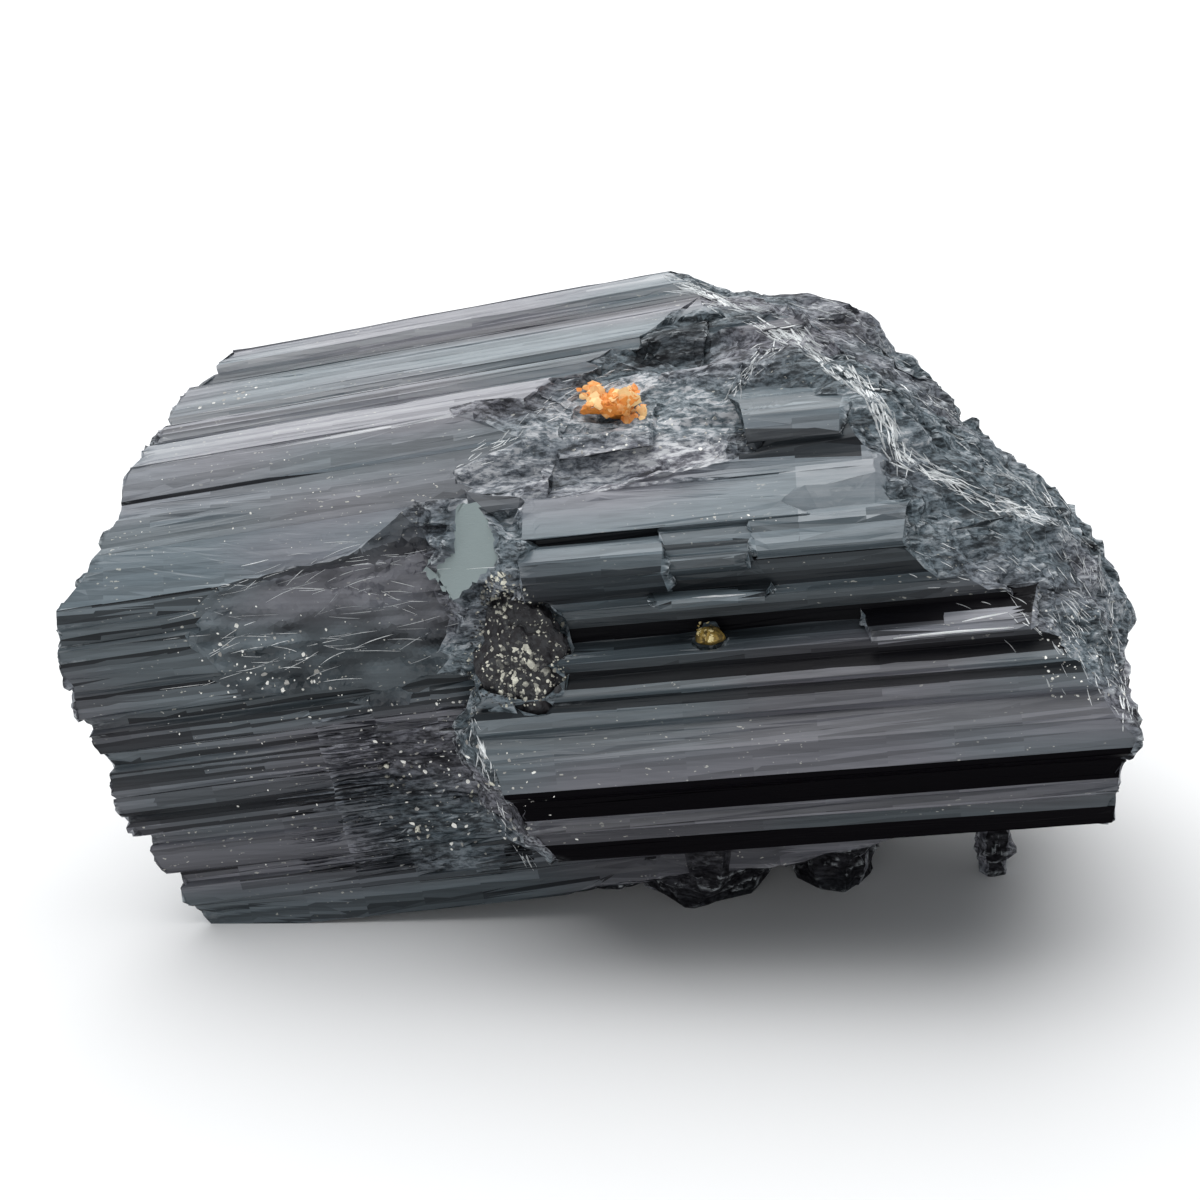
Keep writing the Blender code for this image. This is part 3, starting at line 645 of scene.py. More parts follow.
def strip_middles(middles, axes, faces):
    """Moves triangles' middles to the middles of their strips, so that a band ends along a strip's edge."""
    local, ways = in_crystal(axes, middles), faces @ axes.T
    width = STRIP_WIDTH / MM
    zero = (ORIGIN_SHIFT + AXIS_HEIGHT) @ axes.T
    looks_up = np.abs(ways[:, 1]) <= np.abs(ways[:, 2])
    moved = local.copy()
    strip = (np.floor((local + zero) / width) + 0.5) * width - zero
    slope = -ways[:, 1] / np.where(looks_up, ways[:, 2], 1.0)
    moved[:, 2] = np.where(looks_up, local[:, 2] + (strip[:, 1] - local[:, 1]) * slope, strip[:, 2])
    moved[:, 1] = np.where(looks_up, strip[:, 1], local[:, 1])
    return moved


middles = points[triangles].mean(axis=1)
faces = tags[:, 1:4] / NORMAL_SCALE
in_main, in_front = strip_middles(middles, MAIN, faces), strip_middles(middles, FRONT, faces)
print("bands", [len(rows) for _, rows in (FRONT_BANDS, MAIN_BANDS, TOP_BANDS)])

# %% [markdown]
# ## Tones of grown faces
#
# Within a band, each rib has been scratched and hazed a little differently. So every strip gets a chance
# factor, and a few thin ones on the lower left are painted dark, a painted shade like the shaded gaps between
# ribs in the photograph.

# %% Tones of grown faces
LOOKS_UP, TOP_LOWEST_W = 0.9, 20.0  # the flat top's normals point up by at least this, and it is above this w
LOWER_W = 12.8  # the ribbed lower part of the main crystal's front is below this w
SATIN_START, SATIN_FALL = -30.0, 0.008  # the satin face darkens from this u on, by this much for each mm
# Thin strips whose draw is above THIN_DARK are darkened by DARK_FACTOR: painted shade in the gaps between
# ribs.
THIN_DARK, DARK_FACTOR = 0.82, 0.4
local, ways = in_crystal(MAIN, middles), faces @ MAIN.T
on_front, on_main = kinds == GROWN_FRONT, kinds == GROWN_MAIN
on_top = (faces @ MAIN[2] > LOOKS_UP) & (in_main[:, 2] > TOP_LOWEST_W)
side_tones = banded(in_main[:, 2], MAIN_BANDS, SIDE_TONE)


def banded_tones():
    """The tones of both crystals' bands, and of the blocks on the front one."""
    main_tones = np.where(on_top, banded(in_main[:, 1], TOP_BANDS, TOP_TONE), side_tones)
    tone = np.where(on_front, banded(in_front[:, 2], FRONT_BANDS, FRONT_TONE), main_tones)
    for start, end, bands in BLOCK_BANDS:
        here = on_front & (in_front[:, 0] > start) & (in_front[:, 0] < end)
        tone = np.where(here, banded(in_front[:, 2], bands, tone), tone)
    return tone


def streaked(tone):
    """The tones with each strip a little lighter or darker."""
    flat_top = on_front & (in_front[:, 2] > FLAT_TOP_W[0]) & (in_front[:, 2] < FLAT_TOP_W[1])
    least, most = np.where(flat_top, 0.95, 0.78), np.where(flat_top, 0.1, 0.42)
    tone = tone * (least + most * strip_cells(local, ways, 35.0, 0.45, 31))
    lower = on_main & (local[:, 2] < LOWER_W)
    satin = on_main & ~lower & ~on_top
    tone *= np.where(satin, 1.04 - SATIN_FALL * (local[:, 0] - SATIN_START), 1.0)
    wide, thin = strip_cells(local, ways, 30.0, 0.9, 35), strip_cells(local, ways, 26.0, 0.45, 37)
    return tone * np.where(lower, (0.68 + 0.64 * wide) * np.where(thin > THIN_DARK, DARK_FACTOR, 1.0), 1.0)


grown_tones = streaked(banded_tones())
for outline, patch_tone in GROWN_PATCHES:
    patch_tones = patch_tone * (0.85 + 0.3 * strip_cells(local, ways, 9.0, 0.45, 40))
    grown_tones = np.where(shows_in(outline, middles, faces), patch_tones, grown_tones)
print("mean tone of the grown faces", grown_tones.mean().round(2))

# %% [markdown]
# ## Tones of the breaks
#
# A break sparkles: each small facet is turned another way, so light and dark lie close together. Noise in
# three sizes gives that. The scar is worn and keeps its band's tone, and the underside, which gets no light
# in the photograph, is darkened.

# %% Tones of the breaks
UNDER_W, UNDER_FACTOR = -20.0, 0.2


def broken_tones():
    """The tones of the hackly breaks."""
    tone = 1.0 + 0.5 * smooth_noise(local, (4.0, 1.4, 1.4), 33)
    tone += 0.35 * smooth_noise(local, (1.5, 0.6, 0.6), 34)
    end_on = np.abs(faces @ MAIN[0]) > END_ON
    tone += np.where(end_on, 0.6 * smooth_noise(local, (6.0, 4.0, 4.0), 38), 0.0)
    under = (local[:, 2] < UNDER_W) & ~end_on & ~shows_in(CHIPPED, middles, faces)
    tone *= np.where(under, UNDER_FACTOR, 1.0)
    for outline, factor in BROKEN_PATCHES:
        tone *= np.where(shows_in(outline, middles, faces), factor, 1.0)
    return np.where(on_smooth[triangles].all(axis=1), SMOOTH_TONE, tone)


def scar_tones():
    """The tones of the pitted scar, worn unevenly along the crystal."""
    worn = 0.5 * smooth_noise(local, (14.0, 30.0, 1.6), 39) + 0.5 * smooth_noise(local, (2.5, 0.9, 0.9), 36)
    return side_tones * (1.0 + worn)


def sharpness(points, triangles, normals):
    """How far each point stands out from its neighbours, along its normal, as a slope."""
    first, second = triangles.ravel(), triangles[:, [1, 2, 0]].ravel()
    rise, length = np.zeros(len(points)), np.zeros(len(points))
    gap = points[second] - points[first]
    for here, way in ((first, gap), (second, -gap)):
        np.add.at(rise, here, -(way * normals[here]).sum(axis=1))
        np.add.at(length, here, np.linalg.norm(way, axis=1))
    return rise / np.maximum(length, TINY)


chip_faces = on_chip[triangles].all(axis=1)
tones = np.select([kinds == BROKEN, kinds == SCAR], [broken_tones(), scar_tones()], grown_tones)
tones = np.where(on_flat[triangles].all(axis=1), FLAT_TONE, tones)
tones = np.clip(np.where(chip_faces, CHIP_TONE, tones), 0, MOST_TONE)
area, point_normals = smooth_normals()
standing_out = sharpness(points, triangles, point_normals)
print("mean tone", tones.mean().round(2), "sharp points", int((standing_out > 0.3).sum()))

# %% [markdown]
# ## The rock as an object
#
# The arrays become one mesh, and the numbers that the finish needs travel with it: how broken and how sharp
# each point is, and the tone of each face. Numbers on the mesh keep each band on its own faces.

# %% The body's mesh
EDGE_GAIN = 1.6  # how soon an edge counts as sharp


def mesh_object(name, points, triangles):
    """An object of the arrays' points and triangles, with flat faces."""
    mesh = bpy.data.meshes.new(name)
    mesh.from_pydata(points.tolist(), [], triangles.tolist())
    mesh.update()
    made = bpy.data.objects.new(name, mesh)
    bpy.context.scene.collection.objects.link(made)
    return made


def keep_values(obj, name, values, domain):
    """Stores one number for each point or face of the mesh under a name that the shader reads."""
    attribute = obj.data.attributes.new(name, "FLOAT", domain)
    attribute.data.foreach_set("value", values.astype(np.float32))


rock = mesh_object("tourmaline_body", points, triangles)
keep_values(rock, "broken", np.where(on_chip | on_flat, 0, broken_share), "POINT")
keep_values(rock, "edge", np.clip(standing_out * EDGE_GAIN, 0, 1), "POINT")
keep_values(rock, "tone", tones, "FACE")
keep_values(rock, "chip", chip_faces.astype(float), "FACE")
print(rock.name, "has", len(triangles), "triangles")

# %% [markdown]
# ## Lumps under the grains
#
# The CAD model has one smooth lump for each patch of another mineral. We divide each finely and roughen it,
# so that the grains set on it later look rooted in something solid. The search tree that finds places on
# the rock holds these lumps too, and grains land on whichever is in front.

# %% Rough lumps
LUMP_EDGE = 0.45 * MM
LUMP_SINK = 0.5  # the lumps lie this share of their bumps' height deeper than in the CAD model
LUMP_BUMPS = {"pale_grain_crust": 0.45, "iron_stained_feldspar": 0.45, "yellow_feldspar_grain": 0.25}


def rough_lump(node, height):
    """A finely divided and roughened copy of a small CAD node, with bumps of this height in mm."""
    lump_points, lump_triangles = node_arrays(node)
    more, no_tags = True, np.zeros((len(lump_triangles), 1), dtype=int)

    def long_edges(first, second, which):
        ends = lump_points[first], lump_points[second]
        return np.linalg.norm(ends[0] - ends[1], axis=1) > LUMP_EDGE, (ends[0] + ends[1]) / 2

    while more:
        lump_points, lump_triangles, no_tags, more = split_edges(
            lump_points, lump_triangles, no_tags, long_edges
        )
    outward = lump_points - lump_points.mean(axis=0)
    outward /= np.linalg.norm(outward, axis=1)[:, None]
    places = lump_points / MM
    bumps = smooth_noise(places, (1.3, 1.0, 1.0), 41) + 0.6 * smooth_noise(places, (0.6, 0.6, 0.6), 42)
    bumps += 1.3 * smooth_noise(places, (3.2, 2.6, 2.6), 43)
    lump_points = lump_points + outward * (bumps[:, None] - LUMP_SINK) * height * MM
    print(node, "lump of", len(lump_triangles), "triangles")
    return lump_points, lump_triangles


LUMPS = {node: rough_lump(node, height) for node, height in LUMP_BUMPS.items()}
all_points, all_triangles = [points], [triangles]
for lump_points, lump_triangles in LUMPS.values():
    all_triangles.append(lump_triangles + sum(len(part) for part in all_points))
    all_points.append(lump_points)
surface = BVHTree.FromPolygons(np.concatenate(all_points).tolist(), np.concatenate(all_triangles).tolist())


def on_surface(x, y):
    """The point of the rock that shows at a pixel of the photograph, and its normal."""
    place, normal, _, _ = surface.ray_cast(CAMERA_PLACE, pixel_ray(x, y))
    return place, normal


# %% [markdown]
# ## Materials
#
# Shader maths reads best as plain expressions, so a small class wraps a socket and lets us write
# sums and products of masks directly.

# %% A small class for shader maths


class Value:
    """A shader socket that can be added, multiplied and so on."""

    def __init__(self, paint, socket):
        self.paint, self.socket = paint, socket

    def _maths(self, operation, first, second=None):
        return self.paint.node("ShaderNodeMath", {"operation": operation}, {0: first, 1: second})

    def __add__(self, other):
        return self._maths("ADD", self, other)

    def __radd__(self, other):
        return self._maths("ADD", other, self)

    def __sub__(self, other):
        return self._maths("SUBTRACT", self, other)

    def __rsub__(self, other):
        return self._maths("SUBTRACT", other, self)

    def __mul__(self, other):
        return self._maths("MULTIPLY", self, other)

    def __rmul__(self, other):
        return self._maths("MULTIPLY", other, self)

    def __pow__(self, other):
        return self._maths("POWER", self, other)

    def above(self, edge, softness):
        """0 below edge, 1 above edge + softness, with a smooth rise between."""
        values = {"Value": self, "From Min": edge, "From Max": edge + softness}
        return self.paint.node("ShaderNodeMapRange", {"interpolation_type": "SMOOTHSTEP"}, values)


class Paint:
    """A material with one Principled shader, built node by node."""

    def __init__(self, name):
        self.material = bpy.data.materials.new(name)
        self.material.use_nodes = True
        self.tree = self.material.node_tree
        self.shader = self.tree.nodes["Principled BSDF"]

    def node(self, kind, settings=None, values=None, output=0):
        """Adds a node of this kind and gives one of its outputs."""
        made = self.tree.nodes.new(kind)
        for key, value in (settings or {}).items():
            setattr(made, key, value)
        for key, value in (values or {}).items():
            self.plug(made.inputs[key], value)
        return Value(self, made.outputs[output])

    def plug(self, socket, value):
        """Links a Value to the socket, or sets the socket to a plain number or colour."""
        if isinstance(value, Value):
            self.tree.links.new(value.socket, socket)
        elif value is not None:
            socket.default_value = value

    def place(self, lean=0.0, scale=(1, 1, 1)):
        """Object coordinates, turned so that x follows a crystal, and scaled."""
        spot = self.node("ShaderNodeTexCoord", output="Object")
        values = {"Vector": spot, "Rotation": (0, math.radians(lean), 0), "Scale": scale}
        return self.node("ShaderNodeMapping", None, values)

    def noise(self, spot, scale, detail=2.0, roughness=0.5):
        """Cloudy noise from 0 to 1."""
        values = {"Vector": spot, "Scale": scale, "Detail": detail, "Roughness": roughness}
        return self.node("ShaderNodeTexNoise", {"noise_dimensions": "3D"}, values)

    def blend(self, amount, first, second):
        """A mix of two colours."""
        return self.node("ShaderNodeMix", {"data_type": "RGBA"}, {0: amount, 6: first, 7: second}, 2)

    def attribute(self, name):
        """A number that the mesh carries."""
        return self.node("ShaderNodeAttribute", {"attribute_name": name}, output="Fac")

    def finish(self, sockets):
        """Sets the Principled shader's sockets and gives the material."""
        for key, value in sockets.items():
            self.plug(self.shader.inputs[key], value)
        return self.material


# %% [markdown]
# ## The tourmaline's finish
#
# Schorl is almost opaque. What we see is a weak reflection over black, and where a face is hazed by mica or
# fine scratches, a soft grey sheen on top. The tone of each band, partly haze and partly painted sheen and
# painted shade, drives both the grey colour and a soft coat. Broken faces are duller and speckled, and their
# thin edges are painted pale, a painted highlight for the light that gets into them.

# %% Tourmaline
DEEP_BLACK = (0.002, 0.0016, 0.0025, 1)
HAZE_AND_SHEEN_GREEN = (0.142, 0.18, 0.204, 1)
HAZE_AND_SHEEN_VIOLET = (0.182, 0.184, 0.212, 1)
PAINTED_HIGHLIGHT_PALE = (0.42, 0.43, 0.45, 1)
CHIP_GREEN = (0.26, 0.31, 0.31, 1)
SPLINTER_AND_HIGHLIGHT_PALE = (0.5, 0.53, 0.55, 1)
FLAKE_WHITE = (0.55, 0.54, 0.48, 1)
BLACK_GROUND = (0.006, 0.004, 0.006, 1)
BUMP_DISTANCE = 0.00009  # how high the shaded streaks and grit seem to stand, in metres
TOURMALINE_IOR = 1.62


def drawn_out(paint, share, scale, detail=2.0, roughness=0.5):
    """Noise along the main crystal. The smaller the share, the longer it is drawn out."""
    return paint.noise(paint.place(MAIN_TILT, (share, 1, 1)), scale, detail, roughness)


def tourmaline():
    """Black where the tone is 0 and grey above it, hazed and partly a painted sheen, with dull, speckled
    breaks.
    """
    paint = Paint("black_tourmaline")
    streaks = drawn_out(paint, 0.02, 2200, 3.0, 0.65)
    hairlines = drawn_out(paint, 0.012, 6500, 2.0, 0.6)
    patches = drawn_out(paint, 0.4, 130, 3.0)
    grit = drawn_out(paint, 0.35, 2400, 4.0, 0.7)
    specks = drawn_out(paint, 0.5, 3100)
    broken, tone, edge, chip = (paint.attribute(name) for name in ("broken", "tone", "edge", "chip"))
    grown = 1 - broken
    drift = 0.62 + 0.5 * streaks + 0.25 * patches
    # This grey is partly mica haze and partly a painted sheen, and its black partly painted shade, as the
    # band tones are.
    haze_and_sheen = tone * (drift * grown + (0.35 + 0.9 * grit.above(0.36, 0.3)) * broken)
    tint = drawn_out(paint, 0.3, 90, 1.0).above(0.4, 0.2)
    colour = paint.blend(haze_and_sheen ** 1.3, DEEP_BLACK, paint.blend(tint, HAZE_AND_SHEEN_GREEN, HAZE_AND_SHEEN_VIOLET))
    # The highest tones, on the faces that look up to the overhead light, turn paler still: a painted
    # highlight.
    colour = paint.blend(haze_and_sheen.above(0.95, 1.3), colour, PAINTED_HIGHLIGHT_PALE)
    colour = paint.blend(chip, colour, CHIP_GREEN)
    # Sharp edges of the breaks are painted pale: a painted highlight where light catches them, on top of the
    # pale of split crystal.
    pale = broken * edge.above(0.12, 0.5) * grit.above(0.42, 0.2)
    colour = paint.blend(pale * 0.75, colour, SPLINTER_AND_HIGHLIGHT_PALE)
    flakes = specks.above(0.69, 0.03) * patches.above(0.45, 0.15) * tone.above(0.25, 0.1)
    colour = paint.blend(flakes * 0.7, colour, FLAKE_WHITE)
    height = (streaks * 0.8 + hairlines * 0.5) * grown + grit * broken * 1.6
    bump = paint.node("ShaderNodeBump", None, {"Height": height, "Strength": 0.6, "Distance": BUMP_DISTANCE})
    sockets = {
        "Base Color": colour,
        "Roughness": 0.34 + 0.16 * patches + 0.22 * broken,
        "Specular IOR Level": 0.02,
        "IOR": TOURMALINE_IOR,
        "Coat Weight": haze_and_sheen * (1 - broken * 0.45),
        "Coat Roughness": 0.3,
        "Coat IOR": TOURMALINE_IOR,
        "Normal": bump,
    }
    return paint.finish(sockets)


rock.data.materials.append(tourmaline())
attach(rock, "root")
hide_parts("tourmaline_crystals")
print("finish", rock.data.materials[0].name)

# %% [markdown]
# ## Grains of other minerals
#
# Where the two crystals meet at the left, small cream and yellow grains of feldspar and mica sit in the
# black. Each is a rough little lump, so we take one ball with few faces, dent it differently every time, and
# set hundreds of them on the rock where the photograph shows them. On the real object they grew there, and
# broke with it.

# %% Grains
rng = random.Random(5)
FULL_TURN = 6.3  # in radians
bpy.ops.mesh.primitive_ico_sphere_add(subdivisions=1, radius=1.0)
BALL_POINTS, BALL_TRIANGLES = as_arrays(bpy.context.object)


def grain(place, normal, size, flatness=0.6):
    """One angular grain's points, pressed into the surface."""
    points = BALL_POINTS * np.array([[rng.uniform(0.7, 1.25)] for _ in BALL_POINTS])
    turn = Matrix.Rotation(rng.uniform(0, FULL_TURN), 3, "Z")
    spin = Vector(normal).to_track_quat("Z", "Y").to_matrix() @ turn
    scale = np.array([size * rng.uniform(0.6, 1.3), size * rng.uniform(0.5, 1.0), size * flatness])
    return (points * scale * MM) @ np.array(spin).T + np.array(place)


def grains_in(outline, count, sizes, flatness=0.6, sink=0.15):
    """Places grains at random inside an outline given in the photograph's pixels."""
    made = []
    left, right = min(x for x, y in outline), max(x for x, y in outline)
    top, bottom = min(y for x, y in outline), max(y for x, y in outline)
    while len(made) < count:
        x, y = rng.uniform(left, right), rng.uniform(top, bottom)
        if not inside(outline, x, y):
            continue
        place, normal = on_surface(x, y)
        size = rng.uniform(sizes[0], rng.uniform(*sizes))
        made.append(grain(place - normal * sink * size * MM, normal, size / 2, flatness))
    return made


def joined(name, pieces, triangles_of_piece, lump=None):
    """One object of many small pieces with the same triangles, on a lump, and a random number for each."""
    points, triangles, picks = [np.zeros((0, 3))], [np.zeros((0, 3), dtype=int)], [np.zeros(0)]
    if lump:
        points, triangles, picks = [lump[0]], [lump[1]], [np.full(len(lump[1]), -1.0)]
    start = len(points[0])
    for piece in pieces:
        triangles.append(triangles_of_piece + start)
        points.append(piece)
        start += len(piece)
        picks.append(np.full(len(triangles_of_piece), rng.random()))
    made = mesh_object(name, np.concatenate(points), np.concatenate(triangles))
    keep_values(made, "pick", np.concatenate(picks), "FACE")
    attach(made, "root")
    return made


def mineral(name, ground, dark, pale, roughness=0.55, first_pale=0.4):
    """A mineral with grains of two colours on its ground. A higher first_pale leaves more of them dark."""
    paint = Paint(name)
    pick = paint.attribute("pick")
    mottle = paint.noise(paint.place(), 1900, 3.0, 0.6)
    grain_colour = paint.blend((pick * 0.9 + mottle * 0.6).above(first_pale, 0.7), dark, pale)
    ground_colour = paint.blend(mottle.above(0.4, 0.25), ground, dark)
    colour = paint.blend(pick.above(-0.5, 0.4), ground_colour, grain_colour)
    bump = paint.node("ShaderNodeBump", None, {"Height": mottle, "Strength": 0.5, "Distance": 0.0001})
    return paint.finish({"Base Color": colour, "Roughness": roughness, "Normal": bump})


GRAIN_FIELD = [(478, 590), (500, 572), (530, 590), (566, 625), (572, 675), (545, 704), (500, 708), (470, 690),
               (466, 655), (474, 620)]
UPPER_CLUSTER = [(484, 578), (512, 572), (520, 600), (506, 632), (480, 612)]
LOWER_CLUSTER = [(496, 650), (520, 636), (552, 662), (558, 690), (528, 704), (496, 692)]
CHIP_GRAINS = [
    [(378, 765), (412, 765), (412, 785), (378, 788)],
    [(468, 790), (492, 776), (494, 792), (472, 808)],
    [(408, 828), (428, 824), (430, 840), (410, 842)],
]
LEFT_TRAIL = [(462, 668), (482, 676), (486, 712), (470, 716), (458, 692)]
pieces = grains_in(UPPER_CLUSTER, 80, (0.4, 1.1)) + grains_in(LOWER_CLUSTER, 150, (0.4, 1.3))
pieces += grains_in(GRAIN_FIELD, 620, (0.2, 0.65)) + grains_in(LEFT_TRAIL, 22, (0.2, 0.7))
for outline in CHIP_GRAINS:
    pieces += grains_in(outline, 12, (0.4, 1.1))
grains = joined("pale_grains", pieces, BALL_TRIANGLES, LUMPS["pale_grain_crust"])
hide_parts("pale_grain_crust")
DIM_GRAIN, CREAM = (0.026, 0.027, 0.03, 1), (0.85, 0.83, 0.7, 1)
grains.data.materials.append(mineral("cream_grains", BLACK_GROUND, DIM_GRAIN, CREAM, first_pale=0.62))
print("pale grains", len(pieces))

# %% [markdown]
# ## The orange and the yellow grain
#
# An iron-stained feldspar shows orange in the broken top, and a small yellow one sits on a ledge below.
# Both are crumbly crystals without a clean outline, so a rough lump with angular grains on it does for each.

# %% Orange and yellow
ORANGE_OUTLINE = [(570, 387), (594, 385), (612, 391), (636, 389), (643, 402), (645, 418), (628, 420),
                  (606, 414), (590, 404)]
YELLOW_OUTLINE = [(696, 622), (710, 620), (716, 632), (712, 642), (698, 640)]
orange_pieces = grains_in(ORANGE_OUTLINE, 90, (1.0, 2.2), 0.22, 0.05)
orange = joined("orange_feldspar", orange_pieces, BALL_TRIANGLES, LUMPS["iron_stained_feldspar"])
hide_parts("iron_stained_feldspar")
RUST, DEEP_ORANGE, PALE_ORANGE = (0.7, 0.24, 0.04, 1), (0.85, 0.28, 0.04, 1), (1.0, 0.66, 0.3, 1)
orange.data.materials.append(mineral("orange_stain", RUST, DEEP_ORANGE, PALE_ORANGE))
yellow_pieces = grains_in(YELLOW_OUTLINE, 26, (0.4, 1.0), 0.5)
yellow = joined("yellow_feldspar", yellow_pieces, BALL_TRIANGLES, LUMPS["yellow_feldspar_grain"])
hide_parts("yellow_feldspar_grain")
BROWN, OCHRE, PALE_YELLOW = (0.12, 0.08, 0.02, 1), (0.4, 0.26, 0.05, 1), (0.85, 0.7, 0.35, 1)
yellow.data.materials.append(mineral("yellow_stain", BROWN, OCHRE, PALE_YELLOW))
print("orange and yellow grains", len(orange_pieces), len(yellow_pieces))

# %% [markdown]
# ## Mica flakes
#
# Thin mica flakes glint all over the lower left and on the rough right shoulder. They are the same dented
# balls, pressed nearly flat.

# %% Flakes
# Each field: its outline in the photograph's pixels, its number of flakes, and their sizes in mm
FLAKE_FIELDS = [
    ([(120, 600), (400, 560), (470, 640), (440, 860), (220, 870)], 130, (0.12, 0.45)),
    ([(200, 630), (290, 620), (340, 690), (230, 700)], 40, (0.2, 0.7)),
    ([(340, 690), (480, 700), (590, 840), (400, 870)], 110, (0.15, 0.6)),
    ([(140, 460), (440, 430), (430, 540), (120, 560)], 40, (0.1, 0.35)),
    ([(1030, 590), (1110, 610), (1128, 700), (1050, 700)], 90, (0.15, 0.5)),
    ([(560, 420), (720, 410), (730, 450), (560, 460)], 60, (0.15, 0.5)),
    ([(660, 515), (790, 508), (790, 520), (660, 528)], 14, (0.15, 0.5)),
    ([(225, 625), (300, 625), (335, 690), (240, 690)], 16, (0.3, 0.8)),
    ([(370, 735), (500, 735), (530, 850), (400, 850)], 40, (0.4, 0.8)),
    ([(194, 398), (258, 387), (262, 396), (200, 410)], 14, (0.3, 0.7)),
]
FLAKE_FLATNESS = 0.12
pieces = []
for outline, count, sizes in FLAKE_FIELDS:
    pieces += grains_in(outline, count, sizes, FLAKE_FLATNESS, 0.0)
flakes = joined("mica_flakes", pieces, BALL_TRIANGLES)
MICA_GREY, MICA_WHITE = (0.3, 0.29, 0.27, 1), (0.95, 0.94, 0.88, 1)
flakes.data.materials.append(mineral("mica", BLACK_GROUND, MICA_GREY, MICA_WHITE, 0.35))
print("mica flakes", len(pieces))

# %% [markdown]
# ## Frayed edges
#
# Along the crest the crystal has split into pale fibres, like a snapped stick. Each is a thread with three
# sides that follows the rock between two pixels of the photograph. A hair system could do this too, but
# these are real threads of mesh.

# %% Threads that follow the rock
STATIONS = 8
THREAD_JUMP = 1.9  # a thread is left out where the rock drops away by more than this many mm
OWN_SHARE = 0.4  # each place on a thread keeps this share of itself, and the rest is its neighbours'
HEADING_SPREAD = 0.22  # how far threads turn from their line, in radians
LARGEST_BEND = 0.15  # how much they bend, as a share of their length
# Rings of three corners, joined by two triangles for each side, and a triangle to close each end
THREAD_TRIANGLES = [(0, 2, 1), (3 * STATIONS - 3, 3 * STATIONS - 2, 3 * STATIONS - 1)]
for station in range(STATIONS - 1):
    for side in range(3):
        a, b = station * 3 + side, station * 3 + (side + 1) % 3
        THREAD_TRIANGLES += [(a, b, a + 3), (b, b + 3, a + 3)]
THREAD_TRIANGLES = np.array(THREAD_TRIANGLES)


def along_path(path, share):
    """The pixel at a share of the way along a path of pixels."""
    place = share * (len(path) - 1)
    index = min(int(place), len(path) - 2)
    (x1, y1), (x2, y2) = path[index], path[index + 1]
    return x1 + (x2 - x1) * (place - index), y1 + (y2 - y1) * (place - index)


def thread(path, width):
    """A thread's points, this wide in mm, along a path of pixels, or None where the rock drops away."""
    places = []
    for station in range(STATIONS):
        place, normal = on_surface(*along_path(path, station / (STATIONS - 1)))
        if place is None or (places and (place - places[-1][0]).length > THREAD_JUMP * MM):
            return None
        places.append((place, normal))
    corners = []
    for station, (place, normal) in enumerate(places):
        before, after = places[max(station - 1, 0)][0], places[min(station + 1, STATIONS - 1)][0]
        ahead = after - before
        place = place * OWN_SHARE + (before + after) * (1 - OWN_SHARE) / 2
        side = ahead.cross(normal).normalized()
        thick = width * MM * math.sin(math.pi * (station + 0.6) / (STATIONS + 0.2))
        corners += [place + normal * thick * 0.7, place - side * thick * 0.5, place + side * thick * 0.5]
    return np.array(corners)


def frayed(line, count, spread, length, width):
    """Threads along a line of pixels, off it by about the spread, and up to this many pixels long."""
    made = []
    for _ in range(count):
        share = rng.random()
        x, y = along_path(line, share)
        ahead_x, ahead_y = along_path(line, min(1.0, share + 0.05))
        heading = math.atan2(ahead_y - y, ahead_x - x + 1e-6) + rng.gauss(0, HEADING_SPREAD)
        x, y = x + rng.gauss(0, spread), y + rng.gauss(0, spread)
        reach = rng.uniform(0.4, 1.0) * length / 2
        bend = rng.uniform(-LARGEST_BEND, LARGEST_BEND) * length
        way = (math.cos(heading) * reach, math.sin(heading) * reach)
        path = [(x - way[0], y - way[1]), (x - way[1] * bend / length, y + way[0] * bend / length),
                (x + way[0], y + way[1])]
        made.append(thread(path, rng.uniform(0.4, 1.0) * width))
    return [corners for corners in made if corners is not None]


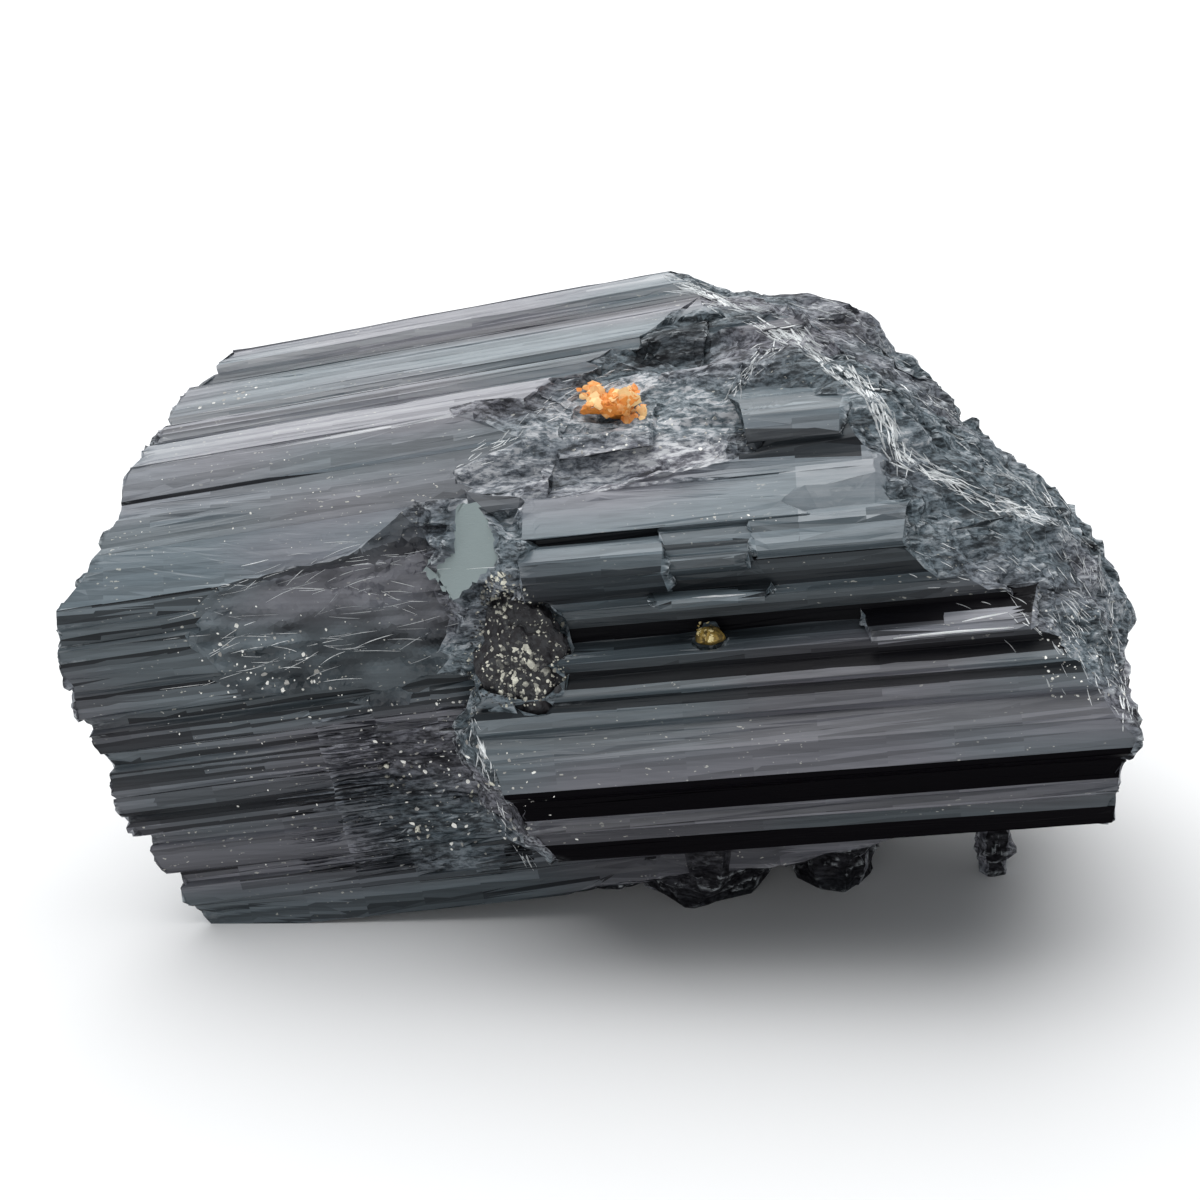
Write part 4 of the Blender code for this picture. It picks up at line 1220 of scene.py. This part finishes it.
# Each frayed line: its pixels, then the number of threads, their spread and length in pixels, and width in mm
FRAYED_LINES = [
    ([(682, 287), (714, 295), (748, 314), (784, 335)], 150, 6, 46, 0.2),
    ([(700, 288), (765, 309), (800, 328)], 50, 4, 40, 0.18),
    ([(790, 333), (820, 352), (850, 376), (872, 396), (888, 422), (898, 455)], 130, 6, 36, 0.24),
    ([(862, 384), (900, 398), (950, 420), (975, 440)], 40, 4, 50, 0.2),
    ([(900, 455), (940, 478), (990, 500), (1040, 520)], 80, 5, 38, 0.2),
    ([(985, 470), (1030, 480), (1060, 510)], 18, 4, 30, 0.16),
    ([(790, 334), (765, 352), (742, 378), (726, 400)], 36, 5, 26, 0.16),
    ([(905, 386), (930, 400), (960, 425), (1000, 455), (1050, 500), (1090, 550)], 50, 6, 30, 0.14),
    ([(620, 375), (560, 402), (500, 440), (455, 460)], 46, 9, 22, 0.14),
    ([(1040, 590), (1085, 640), (1110, 700)], 50, 18, 22, 0.14),
    # These pale threads on the front crystal's left rim are a painted highlight of its small bevel.
    ([(471, 700), (490, 790), (531, 865)], 50, 4, 26, 0.16),
    ([(780, 300), (850, 320), (905, 360)], 36, 16, 34, 0.12),
    ([(215, 600), (330, 575), (430, 560)], 40, 18, 60, 0.08),
    ([(205, 655), (330, 640), (450, 620)], 50, 24, 60, 0.08),
    ([(940, 405), (985, 425), (1030, 462), (1075, 500)], 40, 8, 40, 0.13),
    ([(985, 470), (1030, 500), (1075, 545), (1100, 590)], 60, 14, 30, 0.12),
    ([(930, 540), (1000, 560), (1060, 600), (1100, 650)], 70, 26, 20, 0.1),
    ([(1095, 560), (1108, 610), (1122, 670), (1128, 720)], 30, 4, 34, 0.14),
]
# Single bright lines: their pixels and width in mm
SCRATCHES = [
    ([(215, 582), (285, 552), (355, 528)], 0.16),
    ([(225, 600), (300, 570), (340, 556)], 0.12),
    ([(73, 626), (140, 617), (202, 609)], 0.14),
    ([(96, 745), (180, 732), (272, 719)], 0.14),
    ([(153, 832), (240, 822), (338, 812)], 0.14),
    ([(888, 639), (950, 632), (1020, 627)], 0.22),
    ([(960, 622), (985, 617), (1010, 612)], 0.2),
    ([(690, 598), (720, 596), (748, 594)], 0.2),
]
pieces = [thread(path, width) for path, width in SCRATCHES]
pieces = [corners for corners in pieces if corners is not None]
for line in FRAYED_LINES:
    pieces += frayed(*line)
splinters = joined("crest_splinters", pieces, THREAD_TRIANGLES)
FIBRE_GREY, FIBRE_WHITE = (0.5, 0.52, 0.53, 1), (0.95, 0.97, 0.97, 1)
splinters.data.materials.append(mineral("split_fibres", BLACK_GROUND, FIBRE_GREY, FIBRE_WHITE, 0.4))
print("splinters", len(pieces))

# %% [markdown]
# ## Floor
#
# A plain pale floor gives the crystal something to stand on and a soft shadow. It is only for the picture.

# %% Floor
FLOOR_SIZE, FLOOR_WHITE = 8.0, (0.86, 0.86, 0.86, 1)
bpy.ops.mesh.primitive_plane_add(size=FLOOR_SIZE, location=(0, 0, 0))
floor = bpy.context.object
floor.name = "floor"
floor.data.materials.append(Paint("pale_floor").finish({"Base Color": FLOOR_WHITE, "Roughness": 0.9}))
print("floor", FLOOR_SIZE, "m wide")

# %% [markdown]
# ## Light
#
# Black crystal is seen by what it reflects. A large soft light above and behind whitens the top faces,
# and the room in front stays dim, so the front faces keep their black.

# %% Lights
ROOM_COLOUR, ROOM_STRENGTH = (0.9, 0.95, 1.0, 1), 0.3


def soft_light(name, place, aim, width, height, watts):
    """A soft rectangular light that faces the aim."""
    data = bpy.data.lights.new(name, "AREA")
    data.shape = "RECTANGLE"
    data.size, data.size_y = width, height
    data.energy = watts
    made = bpy.data.objects.new(name, data)
    turn = (Vector(place) - Vector(aim)).to_track_quat("Z", "Y").to_matrix().to_4x4()
    made.matrix_world = Matrix.Translation(place) @ turn
    bpy.context.scene.collection.objects.link(made)


soft_light("overhead", (-0.15, 0.45, 0.9), (-0.1, 0.35, 0), 1.7, 1.9, 22)
soft_light("front_card", (-0.2, -1.6, 0.4), (0, 0, 0), 1.6, 0.6, 4)
world = bpy.data.worlds.new("room")
bpy.context.scene.world = world
world.use_nodes = True
world.node_tree.nodes["Background"].inputs["Color"].default_value = ROOM_COLOUR
world.node_tree.nodes["Background"].inputs["Strength"].default_value = ROOM_STRENGTH
bpy.context.scene.view_settings.view_transform = "Standard"
print("lights", [light.name for light in bpy.data.lights])
